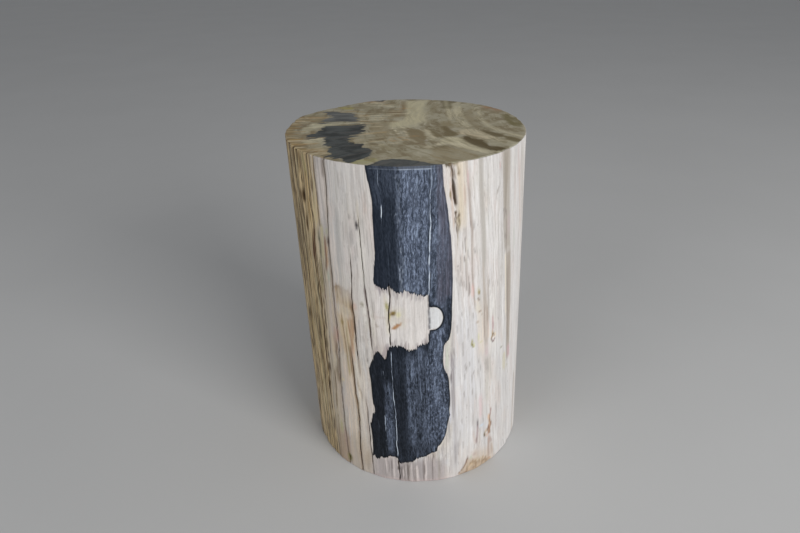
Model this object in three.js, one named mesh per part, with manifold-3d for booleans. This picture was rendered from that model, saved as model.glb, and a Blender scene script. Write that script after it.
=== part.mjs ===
// Petrified wood stool: one length of fossil log, sawn square across both ends
// and ground smooth round the outside. It is a single stone, so it is one mesh.
// Millimetres, +Z up, origin at the centre of the foot's bounding box.
// Angles run anticlockwise from +X seen from above; 270 is the front.

import * as THREE from "three";
import { mergeVertices } from "three/addons/utils/BufferGeometryUtils.js";
import Module from "manifold-3d";

// ---- driving dimensions ---------------------------------------------------
const HEIGHT = 420; // sawn end to sawn end
const TOP_RADIUS = 138.7; // seat
const FOOT_RADIUS = 142.7; // foot, a little wider
const LEAN = 11.6; // how far the foot's centre stands to +X of the seat's centre
const SEAT_ARRIS = 2.4; // eased edge round the seat
const FOOT_ARRIS = 2.0; // eased edge round the foot
const ARRIS_STEPS = 2; // flats that make up each eased edge
const ROWS = 9; // rings between the two eased edges
const WIDEST_STEP = 3.2; // degrees, the coarsest step round the outline

// Ground flats: where the grinder ran down the log. Each is centre, half width
// (degrees) and how fully it was flattened, 1 being a true plane.
const FLATS = [
  [259.6, 6.9, 0.75],
  [272.8, 6.3, 1.0],
  [283.5, 4.4, 0.9],
  [294.5, 6.6, 0.6],
  [307.6, 6.5, 0.55],
  [321.2, 7.1, 0.5],
  [336.0, 7.7, 0.55],
  [351.4, 7.7, 0.5],
  [7.2, 8.1, 0.6],
  [22.1, 6.8, 0.45],
  [36.9, 8.0, 0.6],
  [53.0, 8.1, 0.5],
  [68.6, 7.5, 0.65],
  [84.0, 7.9, 0.5],
  [99.6, 7.7, 0.45],
  [115.4, 8.1, 0.6],
  [130.4, 6.9, 0.5],
  [145.2, 7.9, 0.6],
  [160.7, 7.6, 0.5],
  [176.0, 7.7, 0.55],
  [191.6, 7.9, 0.5],
  [206.6, 7.1, 0.6],
  [219.6, 5.9, 0.5],
  [232.0, 6.5, 0.55],
  [245.6, 7.1, 0.5],
];

// Shallow flutes that follow the grain: angle at the seat, angle at the foot,
// half width in degrees and depth in mm.
const FLUTES = [
  [302.8, 311.0, 2.6, 0.6],
  [318.6, 330.5, 3.2, 0.8],
  [296.4, 301.0, 2.2, 0.4],
  [226.0, 221.0, 2.6, 0.7],
  [215.6, 213.6, 3.0, 0.8],
  [203.0, 206.0, 3.4, 0.9],
  [184.0, 181.0, 3.6, 0.8],
  [152.5, 156.0, 3.2, 0.9],
  [122.0, 119.0, 3.0, 0.7],
  [91.0, 95.0, 3.6, 0.9],
  [60.5, 57.0, 3.2, 0.8],
  [28.0, 31.0, 3.2, 0.7],
  [358.0, 362.0, 3.0, 0.6],
];

// The trunk is not quite round where it was sawn for the seat. Each swelling
// (or hollow, when negative) lists its centre and half width in degrees and
// its height in mm at the seat; all of them die away towards the foot.
const SWELLS = [
  [38.0, 36.0, 4.2],
  [130.0, 22.0, -5.0],
  [158.0, 10.0, 3.2],
];

// Open drying cracks along the grain. Each lists [angle, height as a share of
// HEIGHT] down its length, then its width at the mouth and its depth in mm.
const CRACKS = [
  {
    at: [
      [233.1, 1.01],
      [233.2, 0.94],
      [232.4, 0.87],
      [231.4, 0.79],
      [231.0, 0.68],
      [230.8, 0.56],
      [230.9, 0.47],
      [230.2, 0.38],
      [229.7, 0.28],
      [229.5, 0.17],
      [229.7, 0.08],
      [230.2, -0.01],
    ],
    width: 1.8,
    depth: 6,
  },
  {
    at: [
      [242.6, 0.73],
      [242.2, 0.67],
      [241.7, 0.62],
      [242.0, 0.56],
      [241.9, 0.5],
      [242.3, 0.42],
    ],
    width: 1.7,
    depth: 5,
  },
  {
    at: [
      [238.7, 0.46],
      [239.0, 0.39],
      [239.2, 0.33],
      [239.8, 0.26],
      [239.7, 0.18],
      [239.2, 0.11],
      [239.3, 0.05],
      [239.4, -0.01],
    ],
    width: 1.6,
    depth: 5,
  },
  {
    at: [
      [248.4, 0.87],
      [248.7, 0.79],
      [248.9, 0.69],
      [249.4, 0.62],
      [250.1, 0.54],
      [250.2, 0.46],
    ],
    width: 1.3,
    depth: 4,
  },
  {
    at: [
      [260.1, 0.69],
      [260.5, 0.65],
      [259.6, 0.6],
      [259.6, 0.55],
      [259.7, 0.495],
    ],
    width: 1.4,
    depth: 4,
  },
  {
    at: [
      [288.6, 1.01],
      [289.2, 0.96],
      [289.9, 0.925],
      [290.4, 0.88],
    ],
    width: 4.2,
    depth: 7,
  },
  {
    at: [
      [245.3, 0.1],
      [245.8, 0.05],
      [245.9, -0.01],
    ],
    width: 1.6,
    depth: 5,
  },
  {
    at: [
      [260.0, 0.075],
      [260.1, 0.03],
      [260.1, -0.01],
    ],
    width: 1.3,
    depth: 4,
  },
  {
    at: [
      [198.0, 1.01],
      [198.6, 0.86],
      [197.2, 0.7],
      [197.6, 0.55],
    ],
    width: 1.8,
    depth: 6,
  },
  {
    at: [
      [134.0, 0.62],
      [134.9, 0.45],
      [134.2, 0.27],
      [135.4, 0.12],
      [135.0, -0.01],
    ],
    width: 1.8,
    depth: 6,
  },
  {
    at: [
      [74.0, 1.01],
      [74.6, 0.84],
      [73.5, 0.63],
      [74.3, 0.42],
      [74.0, 0.3],
    ],
    width: 1.9,
    depth: 7,
  },
  {
    at: [
      [14.0, 0.8],
      [14.8, 0.62],
      [14.2, 0.44],
      [15.6, 0.26],
    ],
    width: 1.6,
    depth: 5,
  },
];
const MOUTH_OVERSHOOT = 1.2; // the crack cutter stands this far proud of the surface
const CRACK_ROOT = 0.18; // width at the bottom of a crack, as a share of its mouth

// ---- the log's outline ----------------------------------------------------
const rad = THREE.MathUtils.degToRad;
const wrap = (deg) => ((((deg + 180) % 360) + 360) % 360) - 180;

// Distance from the axis to the ground surface, at an angle and a height.
function surfaceRadius(deg, share) {
  const t = THREE.MathUtils.clamp(share, 0, 1);
  let r = THREE.MathUtils.lerp(FOOT_RADIUS, TOP_RADIUS, t);
  for (const [centre, half, flat] of FLATS) {
    const off = wrap(deg - centre);
    if (Math.abs(off) < half)
      r *= 1 - flat * (1 - Math.cos(rad(half)) / Math.cos(rad(off)));
  }
  for (const [seat, foot, half, depth] of FLUTES) {
    const off = wrap(deg - THREE.MathUtils.lerp(foot, seat, t)) / half;
    if (Math.abs(off) < 1) r -= depth * (0.5 + 0.5 * Math.cos(Math.PI * off));
  }
  for (const [centre, half, rise] of SWELLS) {
    const off = wrap(deg - centre) / half;
    if (Math.abs(off) < 1)
      r += rise * t * (0.5 + 0.5 * Math.cos(Math.PI * off));
  }
  return r;
}

// The axis leans: its offset in X at a height.
const axisX = (share) => LEAN * (1 - THREE.MathUtils.clamp(share, 0, 1));

function onLog(deg, share, inset = 0) {
  const r = surfaceRadius(deg, share) - inset;
  return new THREE.Vector3(
    axisX(share) + r * Math.cos(rad(deg)),
    r * Math.sin(rad(deg)),
    HEIGHT * share,
  );
}

// Stations round the outline: every edge between two flats, and steps between.
function stations() {
  const edges = FLATS.map(([c, h]) => (((c - h) % 360) + 360) % 360).sort(
    (a, b) => a - b,
  );
  const angles = [];
  edges.forEach((from, i) => {
    const to = i + 1 < edges.length ? edges[i + 1] : edges[0] + 360;
    const steps = Math.ceil((to - from) / WIDEST_STEP);
    for (let k = 0; k < steps; k++)
      angles.push(from + ((to - from) * k) / steps);
  });
  return angles;
}

// The turned profile: inset from the surface and height, foot to seat.
function profile() {
  const points = [];
  for (let k = 0; k <= ARRIS_STEPS; k++) {
    const a = (Math.PI / 2) * (k / ARRIS_STEPS);
    points.push([
      FOOT_ARRIS * (1 - Math.sin(a)),
      FOOT_ARRIS * (1 - Math.cos(a)),
    ]);
  }
  for (let k = 1; k < ROWS; k++)
    points.push([
      0,
      FOOT_ARRIS + ((HEIGHT - FOOT_ARRIS - SEAT_ARRIS) * k) / ROWS,
    ]);
  for (let k = 0; k <= ARRIS_STEPS; k++) {
    const a = (Math.PI / 2) * (k / ARRIS_STEPS);
    points.push([
      SEAT_ARRIS * (1 - Math.cos(a)),
      HEIGHT - SEAT_ARRIS * (1 - Math.sin(a)),
    ]);
  }
  return points;
}

function logGeometry() {
  const angles = stations();
  const rings = profile();
  const outline = [
    new THREE.Vector2(0, 0),
    ...rings.map(([inset, z]) => new THREE.Vector2(TOP_RADIUS - inset, z)),
    new THREE.Vector2(0, HEIGHT),
  ];
  const lathe = new THREE.LatheGeometry(outline, angles.length);
  const position = lathe.getAttribute("position");
  const perStation = outline.length;
  for (let i = 0; i <= angles.length; i++)
    for (let j = 0; j < perStation; j++) {
      const deg = angles[i % angles.length];
      const p =
        j === 0 || j === perStation - 1
          ? new THREE.Vector3(
              axisX(outline[j].y / HEIGHT),
              0,
              outline[j].y,
            )
          : onLog(deg, rings[j - 1][1] / HEIGHT, rings[j - 1][0]);
      position.setXYZ(i * perStation + j, p.x, p.y, p.z);
    }
  return lathe;
}

// A crack is drawn flat as the outline of its mouth, extruded to its depth and
// wrapped onto the log, closing to a narrow root as it goes in.
function crackGeometry({ at, width, depth }) {
  const line = new THREE.CatmullRomCurve3(
    at.map(([deg, share]) => new THREE.Vector3(deg, share * HEIGHT, 0)),
  );
  const count = Math.max(8, 2 * at.length);
  const spine = line.getPoints(count);
  const half = (k) => {
    const s = k / count;
    const open = Math.sin(Math.PI * THREE.MathUtils.clamp(s, 0.06, 0.94));
    return (width / 2) * (0.35 + 0.65 * open);
  };
  const mm = (Math.PI / 180) * TOP_RADIUS; // one degree, along the surface
  const mouth = new THREE.Shape([
    ...spine.map((p, k) => new THREE.Vector2(p.x * mm - half(k), p.y)),
    ...spine
      .map((p, k) => new THREE.Vector2(p.x * mm + half(k), p.y))
      .reverse(),
  ]);
  const cutter = new THREE.ExtrudeGeometry(mouth, {
    depth: 1,
    steps: 1,
    bevelEnabled: false,
  });
  const position = cutter.getAttribute("position");
  const spineAt = (z) => {
    let k = spine.findIndex((p) => p.y <= z + 1e-6);
    return spine[k < 0 ? spine.length - 1 : k].x * mm;
  };
  for (let i = 0; i < position.count; i++) {
    const z = position.getY(i);
    const out = position.getZ(i) > 0.5; // the far cap becomes the mouth
    const mid = spineAt(z);
    const u = mid + (position.getX(i) - mid) * (out ? 1 : CRACK_ROOT);
    const p = onLog(u / mm, z / HEIGHT, out ? -MOUTH_OVERSHOOT : depth);
    position.setXYZ(i, p.x, p.y, z);
  }
  return cutter;
}

// ---- joining and cutting --------------------------------------------------
const wasm = await Module();
wasm.setup();

function solid(geometry) {
  const bare = new THREE.BufferGeometry();
  const flat = geometry.index ? geometry.toNonIndexed() : geometry;
  bare.setAttribute("position", flat.getAttribute("position"));
  const merged = mergeVertices(bare, 1e-4);
  const index = merged.index.array;
  const kept = [];
  for (let i = 0; i < index.length; i += 3) {
    const [a, b, c] = [index[i], index[i + 1], index[i + 2]];
    if (a !== b && b !== c && c !== a) kept.push(a, b, c);
  }
  const made = new wasm.Manifold(
    new wasm.Mesh({
      numProp: 3,
      vertProperties: merged.getAttribute("position").array,
      triVerts: new Uint32Array(kept),
    }),
  );
  if (made.volume() > 0) return made;
  for (let i = 0; i < kept.length; i += 3)
    [kept[i + 1], kept[i + 2]] = [kept[i + 2], kept[i + 1]];
  return new wasm.Manifold(
    new wasm.Mesh({
      numProp: 3,
      vertProperties: merged.getAttribute("position").array,
      triVerts: new Uint32Array(kept),
    }),
  );
}

let log = solid(logGeometry());
for (const crack of CRACKS) log = log.subtract(solid(crackGeometry(crack)));

const cut = log.getMesh();
const geometry = new THREE.BufferGeometry();
geometry.setAttribute(
  "position",
  new THREE.BufferAttribute(new Float32Array(cut.vertProperties), 3),
);
geometry.setIndex(new THREE.BufferAttribute(new Uint32Array(cut.triVerts), 1));

// The frame's origin is the middle of the foot's bounding box.
geometry.computeBoundingBox();
const box = geometry.boundingBox;
geometry.translate(
  -(box.min.x + box.max.x) / 2,
  -(box.min.y + box.max.y) / 2,
  -box.min.z,
);
geometry.computeVertexNormals();

const petrifiedLog = new THREE.Mesh(
  geometry,
  new THREE.MeshStandardMaterial({
    color: 0xcdc3b4,
    roughness: 0.5,
    metalness: 0,
  }),
);
petrifiedLog.name = "petrified_log";

const stool = new THREE.Group();
stool.add(petrifiedLog);

export default stool;
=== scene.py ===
import math

import bpy
import numpy as np
from mathutils import Matrix, Vector
from mathutils.geometry import delaunay_2d_cdt


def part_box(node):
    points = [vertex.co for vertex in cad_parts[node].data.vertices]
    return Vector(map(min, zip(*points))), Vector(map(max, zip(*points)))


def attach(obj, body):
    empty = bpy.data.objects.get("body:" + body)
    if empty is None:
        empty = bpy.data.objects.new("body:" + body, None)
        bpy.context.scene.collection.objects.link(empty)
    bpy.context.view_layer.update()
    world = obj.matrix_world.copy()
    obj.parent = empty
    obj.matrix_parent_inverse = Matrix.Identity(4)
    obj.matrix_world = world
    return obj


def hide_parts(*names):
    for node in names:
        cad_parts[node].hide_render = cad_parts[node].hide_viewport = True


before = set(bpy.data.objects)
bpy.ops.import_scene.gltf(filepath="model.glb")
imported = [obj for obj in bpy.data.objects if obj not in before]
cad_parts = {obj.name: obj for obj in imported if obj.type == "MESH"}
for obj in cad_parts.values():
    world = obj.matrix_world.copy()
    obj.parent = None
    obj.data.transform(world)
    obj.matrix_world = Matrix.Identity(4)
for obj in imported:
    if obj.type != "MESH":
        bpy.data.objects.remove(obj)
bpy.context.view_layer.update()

# ---------------------------------------------------------------------------
# The log. Lengths in this script are in millimetres of the log and MM turns
# them into metres. Angles are degrees anticlockwise from +X, 270 is the front,
# and t is height as a share of the log's, 0 at the foot and 1 at the seat.
# ---------------------------------------------------------------------------
NODE = "petrified_log"
LO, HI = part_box(NODE)
TALL = 420.0
MM = (HI.z - LO.z) / TALL

TOP_R, FOOT_R, LEAN = 138.7, 142.7, 11.6
SEAT_ARRIS, FOOT_ARRIS = 2.4, 2.0
R0 = 140.0
ARC = R0 * math.pi / 180.0  # mm along the surface for one degree

FLATS = [
    (259.6, 6.9, 0.75), (272.8, 6.3, 1.0), (283.5, 4.4, 0.9), (294.5, 6.6, 0.6),
    (307.6, 6.5, 0.55), (321.2, 7.1, 0.5), (336.0, 7.7, 0.55), (351.4, 7.7, 0.5),
    (7.2, 8.1, 0.6), (22.1, 6.8, 0.45), (36.9, 8.0, 0.6), (53.0, 8.1, 0.5),
    (68.6, 7.5, 0.65), (84.0, 7.9, 0.5), (99.6, 7.7, 0.45), (115.4, 8.1, 0.6),
    (130.4, 6.9, 0.5), (145.2, 7.9, 0.6), (160.7, 7.6, 0.5), (176.0, 7.7, 0.55),
    (191.6, 7.9, 0.5), (206.6, 7.1, 0.6), (219.6, 5.9, 0.5), (232.0, 6.5, 0.55),
    (245.6, 7.1, 0.5),
]
FLUTES = [
    (302.8, 311.0, 2.6, 0.6), (318.6, 330.5, 3.2, 0.8), (296.4, 301.0, 2.2, 0.4),
    (226.0, 221.0, 2.6, 0.7), (215.6, 213.6, 3.0, 0.8), (203.0, 206.0, 3.4, 0.9),
    (184.0, 181.0, 3.6, 0.8), (152.5, 156.0, 3.2, 0.9), (122.0, 119.0, 3.0, 0.7),
    (91.0, 95.0, 3.6, 0.9), (60.5, 57.0, 3.2, 0.8), (28.0, 31.0, 3.2, 0.7),
    (358.0, 362.0, 3.0, 0.6),
]
SWELLS = [(38.0, 36.0, 4.2), (130.0, 22.0, -5.0), (158.0, 10.0, 3.2)]
# How far the grain walks round the log from seat to foot, in degrees.
DRIFT = [
    (2, 3.6), (28, 3.0), (60.5, -3.5), (91, 4.0), (122, -3.0), (152.5, 3.5),
    (184, -3.0), (203, 3.0), (215.6, -2.0), (226, -5.0), (233, -3.4), (242, -2.6),
    (250, -0.5), (260, 0.0), (279, -2.0), (290, 3.5), (296.4, 8.0), (303, 9.4),
    (318.6, 12.5), (336, 10.5), (358, 4.0),
]


def wrap(d):
    return (d + 180.0) % 360.0 - 180.0


def smooth(x):
    x = np.clip(x, 0.0, 1.0)
    return x * x * (3.0 - 2.0 * x)


def ramp(x, a, b):
    return smooth((x - a) / (b - a))


class Lattice:
    """Smooth seeded noise, 0 to 1, that closes on itself round the log."""

    def __init__(self, seed, nu, nz):
        self.nu, self.nz = nu, nz
        self.tab = np.random.default_rng(seed).random((nu, nz))

    def __call__(self, deg, t):
        x = (np.asarray(deg) / 360.0 % 1.0) * self.nu
        i = np.floor(x).astype(int)
        f = smooth(x - i)
        y = np.clip(t, 0.0, 1.0) * (self.nz - 1)
        j = np.minimum(np.floor(y).astype(int), self.nz - 2)
        g = smooth(y - j)
        a, b = i % self.nu, (i + 1) % self.nu
        low = self.tab[a, j] * (1 - f) + self.tab[b, j] * f
        high = self.tab[a, j + 1] * (1 - f) + self.tab[b, j + 1] * f
        return low * (1 - g) + high * g


def facet_radius(th, t):
    t = np.clip(t, 0.0, 1.0)
    r = FOOT_R + (TOP_R - FOOT_R) * t + 0.0 * th
    for c, h, flat in FLATS:
        off = wrap(th - c)
        cut = 1 - flat * (1 - math.cos(math.radians(h)) / np.cos(np.radians(off)))
        r = np.where(np.abs(off) < h, r * cut, r)
    for seat, foot, half, depth in FLUTES:
        off = wrap(th - (foot + (seat - foot) * t)) / half
        r = r - np.where(np.abs(off) < 1, depth * (0.5 + 0.5 * np.cos(np.pi * off)), 0)
    for c, h, rise in SWELLS:
        off = wrap(th - c) / h
        r = r + np.where(np.abs(off) < 1, rise * t * (0.5 + 0.5 * np.cos(np.pi * off)), 0)
    return r


def ground_radius(th, t):
    """The ground side: edges between flats are eased, except the two crisp ones in the black band."""
    eased = sum(facet_radius(th + o, t) for o in (-1.1, -0.55, 0.0, 0.55, 1.1)) / 5.0
    crisp = np.maximum(
        np.exp(-((wrap(th - 279.1) / 1.8) ** 2)),
        0.8 * np.exp(-((wrap(th - 266.5) / 1.8) ** 2)),
    )
    return eased * (1 - crisp) + facet_radius(th, t) * crisp - 0.12


drift_u = np.array([d[0] for d in DRIFT], float)
drift_d = np.array([d[1] for d in DRIFT], float)


def grain_angle(u, t):
    return u + np.interp(u % 360.0, drift_u, drift_d, period=360.0) * (1.0 - t)


def grain_of(th, t):
    u = np.array(th, float)
    for _ in range(25):
        u = th - np.interp(u % 360.0, drift_u, drift_d, period=360.0) * (1.0 - t)
    return u


# Lines along the grain that the mesh follows. Each is a name, its points
# (angle, t) from the top down, width and depth in mm, how dark and how light
# it is drawn, and how many columns of mesh it gets.
SPINES = [
    dict(name="main", at=[(233.0, 1.01), (233.3, 0.97), (233.1, 0.93), (232.8, 0.89), (232.3, 0.85), (231.8, 0.82), (231.3, 0.79), (230.9, 0.75), (231.1, 0.70), (231.0, 0.66), (230.8, 0.60), (230.8, 0.54), (231.0, 0.49), (230.7, 0.44), (230.2, 0.38), (229.8, 0.33), (229.6, 0.28), (229.5, 0.22), (229.4, 0.16), (229.6, 0.10), (229.9, 0.05), (230.4, -0.01)], w=2.1, d=4.6, dark=0.62),
    dict(name="left_a", at=[(242.9, 0.76), (242.7, 0.72), (242.4, 0.68), (242.1, 0.655), (241.8, 0.63), (241.5, 0.60), (242.1, 0.57), (242.0, 0.53), (241.9, 0.49), (242.2, 0.455), (242.6, 0.42)], w=1.9, d=4.4, dark=1.0),
    dict(name="left_b", at=[(238.6, 0.46), (238.8, 0.42), (239.0, 0.38), (239.1, 0.34), (239.3, 0.30), (239.8, 0.27), (239.9, 0.22), (239.7, 0.17), (239.3, 0.13), (239.1, 0.08), (239.3, 0.03), (239.4, -0.01)], w=1.8, d=4.2, dark=0.9),
    dict(name="cream_hair", at=[(248.3, 0.88), (248.5, 0.83), (248.6, 0.78), (248.8, 0.72), (248.9, 0.67), (249.4, 0.63), (249.8, 0.60), (250.0, 0.56), (250.1, 0.52), (250.2, 0.46)], w=1.35, d=2.4, dark=0.85),
    dict(name="notch", at=[(258.4, 1.0), (258.3, 0.96), (259.2, 0.91), (258.8, 0.87), (259.3, 0.78), (260.0, 0.70), (260.2, 0.68), (260.5, 0.655), (260.4, 0.635), (259.4, 0.61), (259.3, 0.58), (259.6, 0.54), (259.7, 0.50), (259.6, 0.47), (259.3, 0.41), (259.4, 0.36), (259.9, 0.27), (259.9, 0.20), (259.7, 0.12), (259.8, 0.09), (260.1, 0.06), (260.2, 0.02), (260.1, -0.01)], w=1.9, d=3.6, dark=1.0),
    dict(name="facet_vein", at=[(280.2, 1.0), (280.1, 0.96), (279.9, 0.935), (279.5, 0.915), (279.2, 0.89), (279.3, 0.85), (279.0, 0.82), (278.7, 0.79), (278.4, 0.75), (278.2, 0.71), (277.9, 0.68), (277.7, 0.655), (277.7, 0.62), (277.6, 0.55), (277.4, 0.51), (277.4, 0.3), (277.5, 0.0)], w=1.15, d=0.5, dark=0.0),
    dict(name="hollow", at=[(288.8, 1.01), (289.0, 0.985), (289.3, 0.965), (289.75, 0.945), (290.1, 0.925), (290.4, 0.905), (290.65, 0.886), (290.9, 0.868)], w=6.2, d=5.4, dark=0.74),
    dict(name="foot_a", at=[(244.9, 0.29), (245.3, 0.25), (245.1, 0.205), (245.4, 0.16), (245.3, 0.13), (245.5, 0.09), (245.7, 0.05), (245.9, -0.01)], w=1.5, d=3.0, dark=0.85),
    dict(name="ochre_a", at=[(222.3, 1.01), (221.9, 0.95), (221.6, 0.90), (221.7, 0.85), (222.2, 0.81), (221.3, 0.76), (221.0, 0.69), (221.5, 0.61), (221.3, 0.53), (220.5, 0.46), (220.1, 0.39), (219.9, 0.33), (219.2, 0.26)], w=1.8, d=2.3, dark=0.54),
    dict(name="ochre_b", at=[(226.5, 1.01), (226.6, 0.94), (226.3, 0.88), (226.6, 0.81)], w=1.6, d=1.8, dark=0.6),
    dict(name="ochre_c", at=[(225.0, 0.79), (225.2, 0.75), (224.7, 0.70), (224.9, 0.65), (224.7, 0.60), (224.9, 0.50), (224.3, 0.43), (223.9, 0.39)], w=1.8, d=1.9, dark=0.7),
    dict(name="ochre_d", at=[(216.3, 0.95), (215.5, 0.89), (216.0, 0.82), (215.3, 0.76), (215.2, 0.62), (215.0, 0.54), (214.8, 0.44), (214.4, 0.35)], w=1.9, d=2.2, dark=0.66),
    dict(name="ochre_e", at=[(209.8, 1.01), (208.8, 0.93), (209.6, 0.82), (210.4, 0.66), (210.0, 0.5), (210.6, 0.31), (210.2, 0.22)], w=1.5, d=2.4, dark=0.7),
    dict(name="beside_main", at=[(229.4, 0.81), (228.9, 0.76), (228.4, 0.72), (228.0, 0.69)], w=1.0, d=0.9, dark=0.3),
    dict(name="low_shade", at=[(226.3, 0.35), (226.0, 0.30), (225.4, 0.25), (224.6, 0.21)], w=1.2, d=1.2, dark=0.4),
    dict(name="right_wave", at=[(296.1, 1.01), (296.3, 0.96), (296.8, 0.93), (297.2, 0.89), (297.6, 0.85), (298.2, 0.82), (298.0, 0.78), (298.5, 0.74), (298.4, 0.70), (299.0, 0.66), (299.5, 0.62), (300.0, 0.585)], w=1.6, d=0.6, dark=0.0),
    dict(name="right_a", at=[(302.6, 0.195), (302.6, 0.16), (302.3, 0.13), (302.2, 0.105)], w=1.2, d=1.3, dark=0.3),
    dict(name="right_b", at=[(311.5, 0.565), (311.8, 0.53), (312.1, 0.50), (312.5, 0.455)], w=1.2, d=1.2, dark=0.25),
    dict(name="right_c", at=[(308.0, 0.66), (308.2, 0.62), (308.6, 0.58), (309.0, 0.545)], w=1.2, d=0.8, dark=0.15),
    dict(name="right_d", at=[(323.0, 0.68), (323.8, 0.62), (324.6, 0.54), (325.4, 0.46), (326.2, 0.39), (326.8, 0.35)], w=1.4, d=0.9, dark=0.12),
    dict(name="back_a", at=[(198.0, 1.01), (198.4, 0.92), (198.7, 0.86), (197.9, 0.78), (197.2, 0.70), (197.5, 0.62), (197.6, 0.55)], w=1.8, d=6.0, dark=1.0),
    dict(name="back_b", at=[(134.0, 0.62), (134.5, 0.53), (134.9, 0.45), (134.3, 0.36), (134.2, 0.27), (134.9, 0.19), (135.4, 0.12), (135.0, -0.01)], w=1.8, d=6.0, dark=1.0),
    dict(name="back_c", at=[(74.0, 1.01), (74.5, 0.92), (74.6, 0.84), (73.9, 0.73), (73.5, 0.63), (74.0, 0.52), (74.3, 0.42), (74.0, 0.30)], w=1.9, d=7.0, dark=1.0),
    dict(name="back_d", at=[(14.0, 0.80), (14.6, 0.71), (14.8, 0.62), (14.4, 0.53), (14.2, 0.44), (15.0, 0.35), (15.6, 0.26)], w=1.6, d=5.0, dark=0.95),
    dict(name="back_e", at=[(181.0, 0.52), (181.6, 0.44), (180.8, 0.33), (181.2, 0.2), (180.4, 0.08), (180.2, -0.01)], w=1.5, d=3.6, dark=0.85),
    dict(name="back_f", at=[(160.5, 1.01), (160.9, 0.93), (160.2, 0.84), (160.8, 0.74), (161.2, 0.68)], w=1.4, d=3.2, dark=0.85),
    dict(name="back_g", at=[(112.5, 0.94), (112.0, 0.84), (112.8, 0.72), (112.2, 0.60), (112.4, 0.5)], w=1.3, d=2.6, dark=0.7),
    dict(name="back_h", at=[(96.0, 0.34), (96.8, 0.25), (96.2, 0.14), (96.9, 0.05), (96.6, -0.01)], w=1.3, d=2.8, dark=0.75),
    dict(name="back_i", at=[(50.5, 0.58), (50.0, 0.46), (50.8, 0.34), (50.2, 0.22)], w=1.2, d=2.4, dark=0.7),
    dict(name="back_j", at=[(36.0, 1.01), (36.4, 0.94), (35.8, 0.85), (36.2, 0.79)], w=1.4, d=3.0, dark=0.8),
    dict(name="back_k", at=[(350.5, 0.66), (351.0, 0.56), (350.6, 0.44), (351.4, 0.34)], w=1.2, d=1.8, dark=0.5),
    dict(name="back_l", at=[(338.6, 0.24), (339.2, 0.16), (338.8, 0.07), (339.0, -0.01)], w=1.1, d=1.6, dark=0.45),
]

# ---------------------------------------------------------------------------
# Rows and columns of the side
# ---------------------------------------------------------------------------


def row_heights():
    """Heights in mm of the rows between the two eased edges, closer where the markings run across."""
    zones = [
        (FOOT_ARRIS, 0.145 * TALL, 3.1), (0.145 * TALL, 0.40 * TALL, 4.5),
        (0.40 * TALL, 0.515 * TALL, 2.6), (0.515 * TALL, 0.55 * TALL, 3.2),
        (0.55 * TALL, 0.69 * TALL, 2.6), (0.69 * TALL, 0.86 * TALL, 3.5),
        (0.86 * TALL, TALL - SEAT_ARRIS, 3.1),
    ]
    rows = [FOOT_ARRIS]
    for a, b, step in zones:
        n = max(1, round((b - a) / step))
        rows += [a + (b - a) * k / n for k in range(1, n + 1)]
    return np.array(rows)


mid_z = row_heights()
FOOT_PHI = np.radians([90.0, 60.0, 30.0])
SEAT_PHI = np.radians([22.5, 45.0, 67.5, 90.0])
row_t = np.concatenate([np.zeros(len(FOOT_PHI)), mid_z / TALL, np.ones(len(SEAT_PHI))])
ROWS = len(row_t)
rng = np.random.default_rng(20)


def lay_spine(s, i):
    """Angle, half width and depth of a spine at every row."""
    tz = np.array([p[1] for p in s["at"]])[::-1]
    th = np.array([p[0] for p in s["at"]])[::-1]
    t = row_t
    wiggle = np.interp(t, np.linspace(-0.02, 1.02, 78), rng.normal(0.0, 0.15, 78))
    ends = [grain_of(th[0], min(max(tz[0], 0), 1)), grain_of(th[-1], min(max(tz[-1], 0), 1))]
    angle = np.interp(t, tz, th)
    angle = np.where(t < tz[0], grain_angle(ends[0], t), angle)
    angle = np.where(t > tz[-1], grain_angle(ends[1], t), angle) + wiggle
    span = (t - tz[0]) / (tz[-1] - tz[0])
    low = 1.0 if tz[0] < 0 else ramp(t, tz[0], tz[0] + 14 / TALL)
    high = 1.0 if tz[-1] > 1 else 1 - ramp(t, tz[-1] - 14 / TALL, tz[-1])
    on = low * high * ((span >= 0) & (span <= 1))
    rough = np.interp(t, np.linspace(0, 1, 74), rng.uniform(0.5, 1.3, 74))
    half = np.maximum(0.34, s["w"] / 2 * (0.3 + 0.7 * on) * rough)
    depth = s["d"] * on * np.interp(t, np.linspace(0, 1, 45), rng.uniform(0.55, 1.0, 45))
    return angle, half, depth, on


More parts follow.
